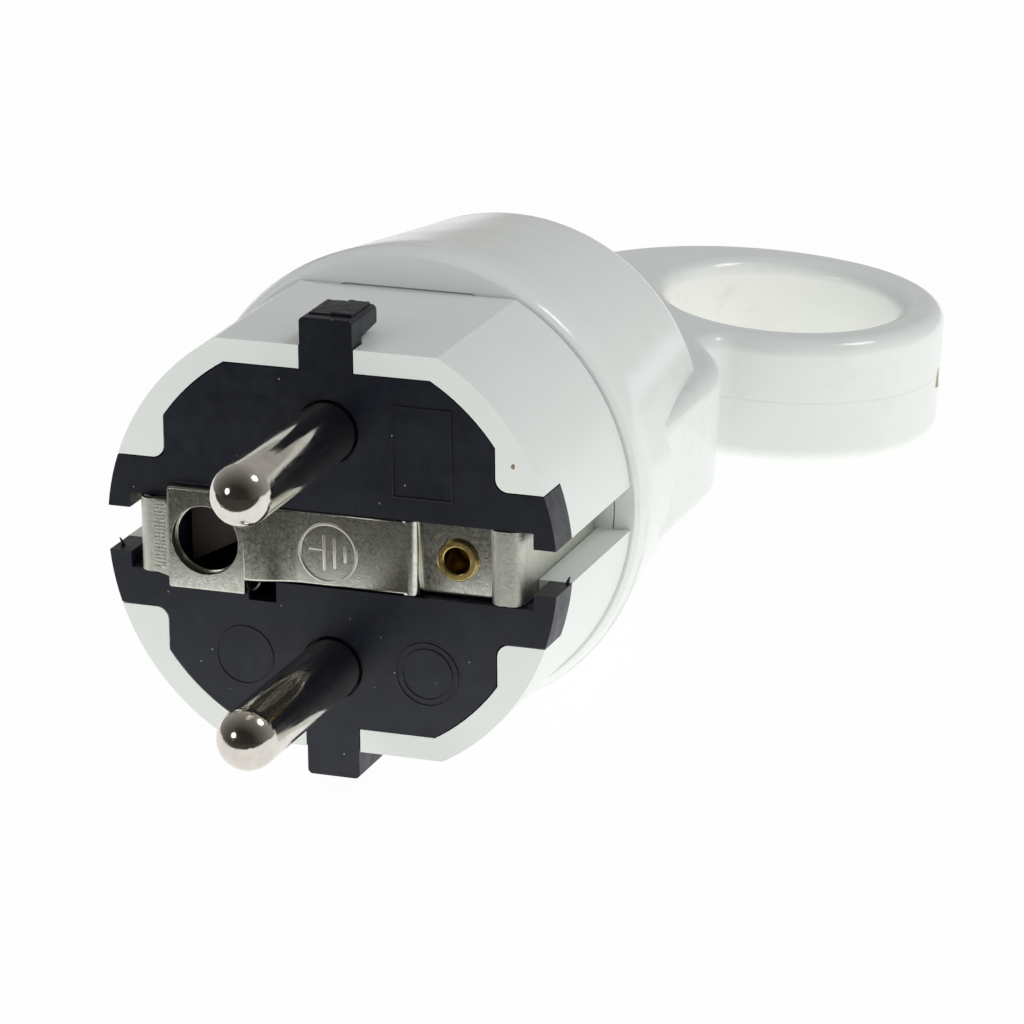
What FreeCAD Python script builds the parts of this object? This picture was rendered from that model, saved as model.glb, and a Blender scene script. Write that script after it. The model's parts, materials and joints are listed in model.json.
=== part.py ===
"""Type F plug with side earth contacts, a keyed face insert and a moulded pull ring.

All sizes are in millimetres. The origin is the middle of the face that meets the socket, +Y runs
back along the plug towards the cord outlet, the pins point along -Y and stand above one another.
"""
import FreeCAD
import Part
import Sketcher
import os
import re

# Driving sizes, one cell of the sheet each
SIZES = {
    # Line pins
    "pin_diameter": 4.8,
    "pin_length": 19.0,
    "pin_pitch": 19.0,
    "neck_radius": 2.3,
    "mouth_gap": 0.15,
    "mouth_depth": 0.6,
    # Face insert
    "insert_radius": 16.5,
    "insert_half_width": 13.5,
    "insert_half_height": 14.2,
    "insert_depth": 13.0,
    "insert_corner": 1.0,
    "arm_half_height": 6.0,
    "arm_depth": 3.6,
    "key_half_width": 2.15,
    "key_reach": 18.4,
    "key_length": 5.5,
    "key_foot": 2.0,
    "key_edge": 0.4,
    "key_nose": 0.5,
    "key_tail": 1.4,
    "key_gap": 0.5,
    # Front skirt
    "skirt_radius": 18.5,
    "skirt_flat": 16.15,
    "skirt_length": 17.2,
    "spigot_inset": 2.4,
    "spigot_length": 3.5,
    "throat_radius": 14.8,
    "slot_half_width": 1.8,
    "throat_web": 1.2,
    "arm_relief": 0.95,
    # Clearances, and how far a cutter or a joint runs past the face it meets
    "moulding_gap": 0.1,
    "metal_gap": 0.05,
    "thread_clear": 0.5,
    "overshoot": 1.0,
    # Earth strap
    "strap_thickness": 0.9,
    "strap_half_width": 2.95,
    "plate_half_width": 4.1,
    "plate_raise": 0.8,
    "plate_margin": 3.1,
    "plate_length": 6.3,
    "step_radius": 0.8,
    "dip_depth": 1.0,
    "dip_length": 5.75,
    "crest_width": 2.7,
    "crest_rise": 0.1,
    "blade_reach": 15.65,
    "blade_end": 16.4,
    "joggle": 0.8,
    "bend_radius": 1.1,
    "crest_radius": 1.05,
    # Earth pin hole and its spring
    "earth_hole_x": 10.0,
    "earth_hole_radius": 2.75,
    "socket_half_width": 2.8,
    "socket_half_height": 3.6,
    "socket_wall": 0.6,
    "socket_depth": 17.0,
    "leaf_thickness": 0.5,
    "leaf_half_width": 2.4,
    "leaf_pinch": 0.3,
    # Window in the insert beside the earth hole, where the spring's foot is bent over
    "window_length": 2.3,
    "window_drop": 4.7,
    "window_depth": 3.0,
    # Eyelet and terminals
    "eyelet_inset": 2.8,
    "eyelet_radius": 1.35,
    "eyelet_bore": 1.05,
    "eyelet_flange": 1.65,
    "eyelet_lip": 0.35,
    "block_half": 3.2,
    "block_front": 6.0,
    "terminal_face": 14.5,
    "earth_plate_margin": 2.2,
    "earth_plate_half": 3.2,
    "earth_screw_spacing": 4.6,
    "earth_screw_margin": 2.9,
    "earth_boss_radius": 2.4,
    "earth_boss_front": 9.5,
    "screw_radius": 1.5,
    "screw_head_radius": 2.6,
    "screw_head_height": 2.2,
    "screw_slot": 0.7,
    "screw_slot_depth": 1.0,
    "terminal_screw_depth": 6.0,
    "clamp_plate_half": 2.8,
    "clamp_plate_thickness": 1.0,
    # Cord clamp on the insert's tongue
    "tongue_top": 4.4,
    "tongue_thickness": 1.5,
    "tongue_half_width": 8.2,
    "tongue_end": 33.5,
    "pillar_x": 6.2,
    "pillar_radius": 1.9,
    "pillar_top": 0.5,
    "clamp_y": 29.0,
    "clamp_half_length": 3.0,
    "clamp_height": 2.8,
    "clamp_arch": 4.1,
    "clamp_arch_lift": 1.2,
    # Rear cover barrel
    "rim_radius": 19.4,
    "rim_edge": 0.35,
    "rim_taper": 0.3,
    "rim_taper_length": 1.15,
    "brow_depth": 3.0,
    "seat_gap": 0.15,
    "barrel_draft": 2.85,
    "barrel_length": 26.3,
    "barrel_rear_edge": 3.5,
    "cavity_inset": 3.4,
    "cavity_draft": 1.0,
    "rear_wall": 4.0,
    # Cover screws
    "cover_screw_x": 7.0,
    "cover_screw_z": 9.1,
    "cover_boss_radius": 2.7,
    "cover_head_sink": 2.5,
    "cover_screw_reach": 4.0,
    "bush_radius": 2.2,
    "bush_length": 5.0,
    # Pull ring and cord outlet
    "cover_turn": 3.9,
    "ring_x": 15.5,
    "ring_y": 65.7,
    "ring_radius": 13.9,
    "ring_hole_radius": 9.95,
    "ring_half_height": 5.45,
    "ring_edge": 1.4,
    "limb_half_width": 5.8,
    "limb_arc": 19.8,
    "web_x": 14.0,
    "web_fillet": 2.0,
    "flank_inset": 1.6,
    "flank_y": 39.0,
    "web_root": 22.0,
    "outlet_radius": 3.9,
}

doc = FreeCAD.newDocument("type_f_plug")
sheet = doc.addObject("Spreadsheet::Sheet", "Sizes")
for row, (alias, value) in enumerate(SIZES.items(), start=1):
    sheet.set(f"A{row}", alias)
    sheet.set(f"B{row}", str(value))
    sheet.setAlias(f"B{row}", alias)
doc.recompute()

# Places along the earth strap, measured from its blades and from the earth pin hole
BLADE_INNER = "(blade_reach - strap_thickness)"
DIP_END = "(blade_reach - crest_width)"
DIP_START = f"({DIP_END} - dip_length)"
EYELET_X = f"({DIP_END} - eyelet_inset)"
EARTH_SCREW_X = f"({EYELET_X} - earth_screw_spacing)"
PLATE_OUTER = "(earth_hole_x + plate_margin)"
PLATE_INNER = f"({PLATE_OUTER} - plate_length)"

# Radii of the cover and of the skirt's spigot, measured in from the cover's rim
SPIGOT_RADIUS = "(rim_radius - spigot_inset)"
BARREL_REAR_RADIUS = "(rim_radius - barrel_draft)"
CAVITY_FRONT_RADIUS = "(rim_radius - cavity_inset)"
CAVITY_REAR_RADIUS = f"({CAVITY_FRONT_RADIUS} - cavity_draft)"

NODES = []
# Places closer than this are the same place
NEAR = 0.01
LEFT_RIGHT = {"left": -1, "right": 1}
UPPER_LOWER = {"upper": 1, "lower": -1}


def tied(words):
    """The expression with each size's name pointed at its cell."""
    return re.sub(r"[a-z][a-z0-9_]*", lambda m: f"Sizes.{m[0]}" if m[0] in SIZES else m[0], str(words))


def value_of(words):
    """The expression's present number."""
    return float(sheet.evalExpression(tied(words)))


def tie(item, **properties):
    """Binds an object's properties to expressions of the sheet."""
    for name, words in properties.items():
        item.setExpression(name, tied(words))


def place(item, x="0", y="0", z="0"):
    """Binds an object's place."""
    for axis, words in zip("xyz", (x, y, z)):
        item.setExpression(f"Placement.Base.{axis}", tied(words))


def node(item, name):
    """Names a finished piece."""
    item.Label = name
    NODES.append(item)
    return item


# Part primitives and booleans

def box(name, x, y, z):
    """A block between two expressions along each axis."""
    item = doc.addObject("Part::Box", name)
    spans = [f"({high}) - ({low})" for low, high in (x, y, z)]
    tie(item, Length=spans[0], Width=spans[1], Height=spans[2])
    place(item, x[0], y[0], z[0])
    return item


def rod(name, radius, start, end, x="0", z="0"):
    """A cylinder along +Y."""
    item = doc.addObject("Part::Cylinder", name)
    item.Placement.Rotation = FreeCAD.Rotation(FreeCAD.Vector(1, 0, 0), -90)
    tie(item, Radius=radius, Height=f"({end}) - ({start})")
    place(item, x, start, z)
    return item


def post(name, radius, bottom, top, x="0", y="0"):
    """A cylinder along +Z."""
    item = doc.addObject("Part::Cylinder", name)
    tie(item, Radius=radius, Height=f"({top}) - ({bottom})")
    place(item, x, y, bottom)
    return item


def fuse(name, *items):
    """Shapes joined into one."""
    item = doc.addObject("Part::MultiFuse", name)
    item.Shapes = list(items)
    item.Refine = True
    return item


def common(name, *items):
    """What shapes share."""
    item = doc.addObject("Part::MultiCommon", name)
    item.Shapes = list(items)
    item.Refine = True
    return item


def cut(name, base, *tools):
    """A shape with others taken out of it."""
    item = doc.addObject("Part::Cut", name)
    item.Base = base
    item.Tool = tools[0] if len(tools) == 1 else fuse(f"{name}_tools", *tools)
    item.Refine = True
    return item


def rounded(name, base, radius, keep):
    """Rounds the edges of a shape that the test keeps."""
    doc.recompute()
    chosen = [i for i, edge in enumerate(base.Shape.Edges, start=1) if keep(edge)]
    item = doc.addObject("Part::Fillet", name)
    item.Base = base
    item.Edges = [(i, value_of(radius), value_of(radius)) for i in chosen]
    return item


def runs_along(edge, axis):
    """True for a straight edge along an axis."""
    if edge.Curve.TypeId != "Part::GeomLine":
        return False
    return abs(edge.Curve.Direction.dot(axis)) > 0.999


# PartDesign bodies from outlines

def origin(body, role):
    """One of the body's own planes or axes."""
    return next(item for item in body.Origin.OriginFeatures if item.Role == role)


def sketch_on(body, name, plane):
    """An empty sketch on one of the body's planes."""
    sketch = body.newObject("Sketcher::SketchObject", name)
    sketch.AttachmentSupport = [(origin(body, plane), "")]
    sketch.MapMode = "FlatFace"
    return sketch


def bind(sketch, kind, words, *where):
    """Adds a dimension to a sketch and binds it to an expression."""
    made = sketch.addConstraint(Sketcher.Constraint(kind, *where, value_of(words)))
    sketch.setExpression(f"Constraints[{made}]", tied(words))


def outline(body, name, plane, corners):
    """A closed outline whose corners are bound to the sheet.

    A corner is (across, along), or (across, along, radius, turn) where an arc of that radius runs
    on to the next corner, turn +1 with the centre to the left of the way and -1 to the right.
    """
    sketch = sketch_on(body, name, plane)
    spots = [FreeCAD.Vector(value_of(c[0]), value_of(c[1]), 0) for c in corners]
    ends = []
    for i, corner in enumerate(corners):
        start, stop = spots[i], spots[(i + 1) % len(spots)]
        if len(corner) == 2:
            sketch.addGeometry(Part.LineSegment(start, stop), False)
            ends.append((1, 2))
            continue
        radius, turn = value_of(corner[2]), corner[3]
        chord = stop - start
        rise = (radius ** 2 - (chord.Length / 2) ** 2) ** 0.5
        side = FreeCAD.Vector(-chord.y, chord.x, 0).normalize() * turn
        crown = start + chord * 0.5 + side * (rise - radius)
        sketch.addGeometry(Part.Arc(start, crown, stop), False)
        ends.append((1, 2) if turn > 0 else (2, 1))
    for i in range(len(corners)):
        after = (i + 1) % len(corners)
        sketch.addConstraint(Sketcher.Constraint("Coincident", i, ends[i][1], after, ends[after][0]))
    for i, corner in enumerate(corners):
        bind(sketch, "DistanceX", corner[0], -1, 1, i, ends[i][0])
        bind(sketch, "DistanceY", corner[1], -1, 1, i, ends[i][0])
        if len(corner) == 4:
            bind(sketch, "Radius", corner[2], i)
    return sketch


def turned(name, corners):
    """A body turned about the Y axis from an outline of (radius, along) corners."""
    body = doc.addObject("PartDesign::Body", name)
    sketch = outline(body, f"{name}_outline", "XY_Plane", corners)
    spin = body.newObject("PartDesign::Revolution", f"{name}_turned")
    spin.Profile = sketch
    spin.ReferenceAxis = (sketch, ["V_Axis"])
    spin.Angle = 360
    return body


def padded(name, plane, corners, thickness):
    """A body raised to both sides of a plane from an outline."""
    body = doc.addObject("PartDesign::Body", name)
    pad = body.newObject("PartDesign::Pad", f"{name}_pad")
    pad.Profile = outline(body, f"{name}_outline", plane, corners)
    pad.SideType = "Symmetric"
    tie(pad, Length=thickness)
    body.Tip = pad
    return body


# Line pins: a round nosed pin, a square head seated in the insert and a tapped hole behind

def line_pin(which, side):
    """One line pin with its head and tapped hole."""
    nose = "pin_diameter / 2"
    shaft = turned(f"shaft_{which}", [
        ("0", "-pin_length", nose, 1),
        (nose, f"{nose} - pin_length"),
        (nose, "0"),
        ("neck_radius", "0"),
        ("neck_radius", "terminal_face"),
        ("0", "terminal_face"),
    ])
    head = box(f"pin_head_{which}", ("-block_half", "block_half"), ("block_front", "terminal_face"),
               ("-block_half", "block_half"))
    tapped = rod(f"pin_tapping_{which}", "screw_radius", "terminal_face - terminal_screw_depth",
                 "terminal_face + overshoot")
    pin = cut(f"line_pin_{which}", fuse(f"pin_blank_{which}", shaft, head), tapped)
    place(pin, z=f"{side} * pin_pitch / 2")
    return node(pin, f"line_pin_{which}")


def slotted_screw(name, head_seat, reach, x="0", z="0"):
    """A cheese head screw along the plug, its head behind the seat and its slot facing back."""
    head_top = f"({head_seat}) + screw_head_height"
    blank = fuse(f"{name}_blank", rod(f"{name}_shank", "screw_radius - metal_gap",
                                      f"({head_seat}) - ({reach})", head_seat),
                 rod(f"{name}_head", "screw_head_radius", head_seat, head_top))
    slot = box(f"{name}_slot", ("-screw_head_radius - overshoot", "screw_head_radius + overshoot"),
               (f"{head_top} - screw_slot_depth", f"{head_top} + overshoot"),
               ("-screw_slot / 2", "screw_slot / 2"))
    screw = cut(name, blank, slot)
    place(screw, x=x, z=z)
    return node(screw, name)


def wire_clamp(which, x="0", z="0"):
    """A square clamping plate under a terminal screw."""
    plate = box(f"clamp_plate_{which}", ("-clamp_plate_half", "clamp_plate_half"),
                ("terminal_face", "terminal_face + clamp_plate_thickness"),
                ("-clamp_plate_half", "clamp_plate_half"))
    hole = rod(f"clamp_hole_{which}", "screw_radius", "terminal_face - overshoot",
               "terminal_face + clamp_plate_thickness + overshoot")
    clamp = cut(f"{which}_wire_clamp", plate, hole)
    place(clamp, x=x, z=z)
    return node(clamp, f"{which}_wire_clamp")


terminal_seat = "terminal_face + clamp_plate_thickness"
terminal_reach = "terminal_screw_depth + clamp_plate_thickness - thread_clear"
for which, side in UPPER_LOWER.items():
    line_pin(which, side)
    wire_clamp(which, z=f"{side} * pin_pitch / 2")
    slotted_screw(f"{which}_terminal_screw", terminal_seat, terminal_reach, z=f"{side} * pin_pitch / 2")
wire_clamp("earth", x=EARTH_SCREW_X)
slotted_screw("earth_terminal_screw", terminal_seat,
              "terminal_face + clamp_plate_thickness - earth_boss_front - thread_clear",
              x=EARTH_SCREW_X)


# Earth strap: one folded strip across the face, down into a blade in each side slot

plate_front = "(-plate_raise)"
crest_front = "(-crest_rise)"
strap_front = [
    ("-blade_reach", "blade_end"),
    ("-blade_reach", f"{plate_front} + bend_radius", "bend_radius", -1),
    ("-blade_reach + bend_radius", plate_front),
    (f"-{PLATE_INNER}", plate_front),
    (f"-{PLATE_INNER} + joggle", "0"),
    (f"{DIP_START} - step_radius", "0", "step_radius", -1),
    (DIP_START, "step_radius"),
    (DIP_START, "dip_depth"),
    (DIP_END, "dip_depth"),
    (DIP_END, f"{crest_front} + crest_radius", "crest_radius", -1),
    (f"{DIP_END} + crest_radius", crest_front),
    ("blade_reach - crest_radius", crest_front, "crest_radius", -1),
    ("blade_reach", f"{crest_front} + crest_radius"),
    ("blade_reach", "blade_end"),
]
strap_back = [
    (BLADE_INNER, "blade_end"),
    (BLADE_INNER, f"{crest_front} + strap_thickness"),
    (f"{DIP_END} + strap_thickness", f"{crest_front} + strap_thickness"),
    (f"{DIP_END} + strap_thickness", "dip_depth + strap_thickness"),
    (f"{DIP_START} - strap_thickness", "dip_depth + strap_thickness"),
    (f"{DIP_START} - strap_thickness", "strap_thickness"),
    (f"-{PLATE_INNER} + joggle - strap_thickness / 2", "strap_thickness"),
    (f"-{PLATE_INNER} - strap_thickness / 2", f"{plate_front} + strap_thickness"),
    ("-blade_reach + bend_radius", f"{plate_front} + strap_thickness",
     "bend_radius - strap_thickness", 1),
    (f"-{BLADE_INNER}", f"{plate_front} + bend_radius"),
    (f"-{BLADE_INNER}", "blade_end"),
]
strap_strip = padded("strap_strip", "XY_Plane", strap_front + strap_back, "2 * strap_half_width")
strap_plate = box("strap_plate", (f"-{PLATE_OUTER}", f"-{PLATE_INNER}"),
                  (plate_front, f"{plate_front} + strap_thickness"),
                  ("-plate_half_width", "plate_half_width"))
earth_hole = rod("strap_earth_hole", "earth_hole_radius", "-plate_raise - overshoot",
                 "dip_depth + strap_thickness + overshoot", x="-earth_hole_x")
eyelet_hole = rod("strap_eyelet_hole", "eyelet_radius + metal_gap", "-plate_raise - overshoot",
                  "dip_depth + strap_thickness + overshoot", x=EYELET_X)
node(cut("earth_strap", fuse("strap_blank", strap_strip, strap_plate), earth_hole, eyelet_hole),
     "earth_strap")

# Hollow brass eyelet, flanged over the strap in front and over the earth terminal behind
eyelet = turned("eyelet", [
    ("eyelet_bore", "dip_depth - eyelet_lip"),
    ("eyelet_flange", "dip_depth - eyelet_lip"),
    ("eyelet_flange", "dip_depth"),
    ("eyelet_radius", "dip_depth"),
    ("eyelet_radius", "terminal_face"),
    ("eyelet_flange", "terminal_face"),
    ("eyelet_flange", "terminal_face + eyelet_lip"),
    ("eyelet_bore", "terminal_face + eyelet_lip"),
])
place(eyelet, x=EYELET_X)
node(eyelet, "earth_rivet")

# Brass earth terminal: a plate on the insert's back with a tapped boss sunk into it
earth_plate = box("earth_plate", (f"{EARTH_SCREW_X} - earth_screw_margin",
                                  f"{EYELET_X} + earth_plate_margin"),
                  ("insert_depth", "terminal_face"),
                  ("-earth_plate_half", "earth_plate_half"))
earth_boss = rod("earth_boss", "earth_boss_radius", "earth_boss_front", "terminal_face",
                 x=EARTH_SCREW_X)
earth_tapping = rod("earth_tapping", "screw_radius", "earth_boss_front - overshoot",
                    "terminal_face + overshoot", x=EARTH_SCREW_X)
plate_hole = rod("plate_eyelet_hole", "eyelet_radius + metal_gap", "insert_depth - overshoot",
                 "terminal_face + overshoot", x=EYELET_X)
node(cut("earth_terminal", fuse("earth_terminal_blank", earth_plate, earth_boss), earth_tapping,
         plate_hole),
     "earth_terminal")

# Earth socket: a bent leaf spring whose two legs pinch the socket's earth pin
leg_outer = "socket_half_height - metal_gap"
leg_pinched = f"{leg_outer} - leaf_pinch"
socket_front = f"{plate_front} + strap_thickness"
socket_back = "socket_depth - metal_gap"
socket_waist = f"({socket_front} + {socket_back}) / 2"
leaf_outer = [
    (socket_front, leg_outer),
    (socket_waist, leg_pinched),
    (socket_back, leg_outer),
    (socket_back, f"-({leg_outer})"),
    (socket_waist, f"-({leg_pinched})"),
    (socket_front, f"-({leg_outer})"),
]
leaf_inner = [
    (socket_front, f"leaf_thickness - ({leg_outer})"),
    (socket_waist, f"leaf_thickness - ({leg_pinched})"),
    (f"{socket_back} - leaf_thickness", f"leaf_thickness - ({leg_outer})"),
    (f"{socket_back} - leaf_thickness", f"{leg_outer} - leaf_thickness"),
    (socket_waist, f"{leg_pinched} - leaf_thickness"),
    (socket_front, f"{leg_outer} - leaf_thickness"),
]
leaf = padded("leaf", "YZ_Plane", leaf_outer + leaf_inner, "2 * leaf_half_width")
place(leaf, x="-earth_hole_x")
node(leaf, "earth_socket")


# The insert's outline, shared by the insert and by the hole for it in the skirt

def insert_form(name, grow, back):
    """Core and arms of the insert, grown all round by a clearance, the core running to the back."""
    core = common(f"{name}_core", rod(f"{name}_round", f"insert_radius + {grow}", "0", back),
                  box(f"{name}_sides", (f"-insert_half_width - {grow}", f"insert_half_width + {grow}"),
                      ("0", back),
                      (f"-insert_half_height - {grow}", f"insert_half_height + {grow}")))
    arms = common(f"{name}_arms", rod(f"{name}_disc", "skirt_radius", "0", "arm_depth"),
                  box(f"{name}_band", ("-skirt_radius", "skirt_radius"), ("0", "arm_depth"),
                      (f"-arm_half_height - {grow}", f"arm_half_height + {grow}")))
    form = fuse(f"{name}_form", core, arms)
    across = value_of(f"insert_half_width + {grow}")
    height = value_of(f"arm_half_height + {grow}")

    def inner_corner(edge):
        """True for an edge where an arm meets the core."""
        spot = edge.CenterOfMass
        at_corner = abs(abs(spot.x) - across) < NEAR and abs(abs(spot.z) - height) < NEAR
        return at_corner and runs_along(edge, FreeCAD.Vector(0, 1, 0))

    return rounded(f"{name}_rounded", form, "insert_corner", inner_corner)


def side_span(side, low, high):
    """Two expressions taken to the plus or to the minus side of the middle."""
    return (low, high) if side > 0 else (f"-({high})", f"-({low})")


def key_notch(name, side):
    """The gap in the skirt's front edge that a polarising key's foot goes through."""
    half = "(key_half_width + moulding_gap)"
    return box(name, (f"-{half}", half), ("0", "key_foot + moulding_gap"),
               side_span(side, "insert_half_height - overshoot", "skirt_flat"))


def key(name, side):
    """A polarising key: a foot in the skirt's edge and a hooked head that hangs over its flat."""
    turn = -side
    body = padded(f"{name}_hook", "YZ_Plane", [
        ("0", f"{side} * (insert_half_height - overshoot)"),
        ("0", f"{side} * key_reach"),
        ("key_length - key_nose", f"{side} * key_reach", "key_nose", turn),
        ("key_length", f"{side} * (key_reach - key_nose)"),
        ("key_length", f"{side} * (key_reach - key_tail)"),
        ("key_foot", f"{side} * (skirt_flat + key_gap)"),
        ("key_foot", f"{side} * (insert_half_height - overshoot)"),
    ], "2 * key_half_width")
    half = value_of("key_half_width")
    shoulder = value_of("key_reach - key_nose")

    def upper_side(edge):
        """True for an edge along the head's two upper sides."""
        spot = edge.CenterOfMass
        return abs(abs(spot.x) - half) < NEAR and side * spot.z > shoulder + NEAR

    return rounded(name, body, "key_edge", upper_side)


def side_slot(name, side, inner, outer, end):
    """A side slot: narrow at the outside, wide underneath where the strap's blade lies."""
    narrow = box(f"{name}_narrow", side_span(side, "blade_reach", "skirt_radius + overshoot"),
                 ("-overshoot", end),
                 ("-slot_half_width", "slot_half_width"))
    wide = box(f"{name}_wide", side_span(side, inner, outer), ("-overshoot", end),
               ("-strap_half_width - moulding_gap", "strap_half_width + moulding_gap"))
    return narrow, wide


# Face insert

form = insert_form("insert", "0", "insert_depth")
keys = []
for which, side in UPPER_LOWER.items():
    keys.append(key(f"key_{which}", side))
tongue = box("tongue", ("-tongue_half_width", "tongue_half_width"),
             ("insert_depth - overshoot", "tongue_end"),
             ("-tongue_top - tongue_thickness", "-tongue_top"))
pillars = [post(f"pillar_{which}", "pillar_radius", "-tongue_top - tongue_thickness / 2", "pillar_top",
                x=f"{side} * pillar_x", y="clamp_y") for which, side in LEFT_RIGHT.items()]
socket_tube = box("socket_tube", ("-earth_hole_x - socket_half_width - socket_wall",
                                  "-earth_hole_x + socket_half_width + socket_wall"),
                  ("insert_depth - overshoot", "socket_depth + socket_wall"),
                  ("-socket_half_height - socket_wall", "socket_half_height + socket_wall"))
insert_blank = fuse("insert_blank", form, *keys, tongue, *pillars, socket_tube)

channel_half = "strap_half_width + moulding_gap"
insert_cuts = [
    box("band_channel", ("-blade_reach", DIP_START), ("-overshoot", "strap_thickness"),
        (f"-({channel_half})", channel_half)),
    box("plate_recess", (f"-{PLATE_OUTER} - moulding_gap", f"-{PLATE_INNER} + moulding_gap"),
        ("-overshoot", f"{plate_front} + strap_thickness"),
        ("-plate_half_width - moulding_gap", "plate_half_width + moulding_gap")),
    box("dip_channel", (f"{DIP_START} - strap_thickness - moulding_gap", "blade_reach"),
        ("-overshoot", "dip_depth + strap_thickness"), (f"-({channel_half})", channel_half)),
    box("socket_pocket", ("-earth_hole_x - socket_half_width",
                          "-earth_hole_x + socket_half_width"),
        ("-overshoot", "socket_depth"), ("-socket_half_height", "socket_half_height")),
    box("spring_window", (f"-{PLATE_INNER}", f"window_length - {PLATE_INNER}"),
        ("-overshoot", "window_depth"),
        ("-window_drop", "0")),
    rod("insert_eyelet_hole", "eyelet_radius + metal_gap", "-overshoot", "insert_depth + overshoot",
        x=EYELET_X),
    rod("earth_boss_hole", "earth_boss_radius + metal_gap", "earth_boss_front - thread_clear",
        "insert_depth + overshoot", x=EARTH_SCREW_X),
]
for which, side in UPPER_LOWER.items():
    middle = f"{side} * pin_pitch / 2"
    insert_cuts.append(rod(f"pin_mouth_{which}", "pin_diameter / 2 + mouth_gap", "-overshoot",
                           "mouth_depth", z=middle))
    insert_cuts.append(rod(f"pin_hole_{which}", "neck_radius + metal_gap", "-overshoot",
                           "insert_depth + overshoot", z=middle))
    insert_cuts.append(box(f"pin_pocket_{which}", ("-block_half - metal_gap", "block_half + metal_gap"),
                           ("block_front", "insert_depth + overshoot"),
                           (f"{middle} - block_half - metal_gap",
                            f"{middle} + block_half + metal_gap")))
    insert_cuts.append(rod(f"bush_hole_{which}", "bush_radius", "insert_depth - bush_length",
                           "insert_depth + overshoot",
                           x=f"-{side} * cover_screw_x", z=f"{side} * cover_screw_z"))
for which, side in LEFT_RIGHT.items():
    insert_cuts += side_slot(f"arm_slot_{which}", side, DIP_END, "blade_reach + arm_relief",
                             "arm_depth + overshoot")
    insert_cuts.append(box(f"blade_groove_{which}",
                           side_span(side, f"{BLADE_INNER} - moulding_gap", "blade_reach + moulding_gap"),
                           ("-overshoot", "blade_end + moulding_gap"),
                           (f"-({channel_half})", channel_half)))
    insert_cuts.append(post(f"pillar_hole_{which}", "screw_radius",
                            "-tongue_top - tongue_thickness - overshoot",
                            "pillar_top + overshoot", x=f"{side} * pillar_x", y="clamp_y"))
node(cut("face_insert", insert_blank, *insert_cuts), "face_insert")

# Cord clamp: an arched bar across the tongue, held by two screws
clamp_bar = box("clamp_bar", ("-tongue_half_width", "tongue_half_width"),
                ("clamp_y - clamp_half_length", "clamp_y + clamp_half_length"),
                ("pillar_top", "pillar_top + clamp_height"))
clamp_cuts = [rod("clamp_arch_cut", "clamp_arch", "clamp_y - clamp_half_length - overshoot",
                  "clamp_y + clamp_half_length + overshoot",
                  z="pillar_top + clamp_arch_lift - clamp_arch")]
for which, side in LEFT_RIGHT.items():
    clamp_cuts.append(post(f"clamp_bar_hole_{which}", "screw_radius", "pillar_top - overshoot",
                           "pillar_top + clamp_height + overshoot",
                           x=f"{side} * pillar_x", y="clamp_y"))
node(cut("cord_clamp", clamp_bar, *clamp_cuts), "cord_clamp")
for which, side in LEFT_RIGHT.items():
    name = f"cord_clamp_screw_{which}"
    seat = "(pillar_top + clamp_height)"
    head_top = f"({seat} + screw_head_height)"
    blank = fuse(f"{name}_blank", post(f"{name}_shank", "screw_radius - metal_gap", "-tongue_top",
                                       seat),
                 post(f"{name}_head", "screw_head_radius", seat, head_top))
    slot = box(f"{name}_slot", ("-screw_head_radius - overshoot", "screw_head_radius + overshoot"),
               ("-screw_slot / 2", "screw_slot / 2"),
               (f"{head_top} - screw_slot_depth", f"{head_top} + overshoot"))
    screw = cut(name, blank, slot)
    place(screw, x=f"{side} * pillar_x", y="clamp_y")
    node(screw, name)

# Front skirt: a flatted sleeve, open in front for the insert, with a spigot for the cover behind

spigot_end = "skirt_length + spigot_length"
throat_half = f"{BLADE_INNER} - metal_gap - throat_web"
sleeve = common("sleeve", rod("sleeve_round", "skirt_radius", "0", "skirt_length"),
                box("sleeve_flats", ("-skirt_radius", "skirt_radius"), ("0", "skirt_length"),
                    ("-skirt_flat", "skirt_flat")))
spigot = common("spigot", rod("spigot_round", SPIGOT_RADIUS, "skirt_length - overshoot", spigot_end),
                box("spigot_flats", ("-skirt_radius", "skirt_radius"), ("0", spigot_end),
                    ("-skirt_flat", "skirt_flat")))
skirt_cuts = [
    insert_form("insert_seat", "moulding_gap", "insert_depth"),
    common("throat", rod("throat_round", "throat_radius", "insert_depth - overshoot",
                         spigot_end + " + overshoot"),
           box("throat_sides", (f"-({throat_half})", throat_half),
               ("insert_depth - overshoot", spigot_end + " + overshoot"),
               ("-throat_radius", "throat_radius"))),
    box("socket_passage", ("-earth_hole_x - socket_half_width - socket_wall - moulding_gap", "0"),
        ("insert_depth - overshoot", spigot_end + " + overshoot"),
        ("-socket_half_height - socket_wall - moulding_gap",
         "socket_half_height + socket_wall + moulding_gap")),
]
for which, side in UPPER_LOWER.items():
    skirt_cuts.append(key_notch(f"key_notch_{which}", side))
for which, side in LEFT_RIGHT.items():
    skirt_cuts += side_slot(f"skirt_slot_{which}", side, f"{BLADE_INNER} - metal_gap",
                            "blade_reach + metal_gap",
                            "skirt_length")
node(cut("front_skirt", fuse("skirt_blank", sleeve, spigot), *skirt_cuts), "front_skirt")

# Rear cover: turned barrel, pull ring with the cord limb beside it, then hollowed

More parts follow.
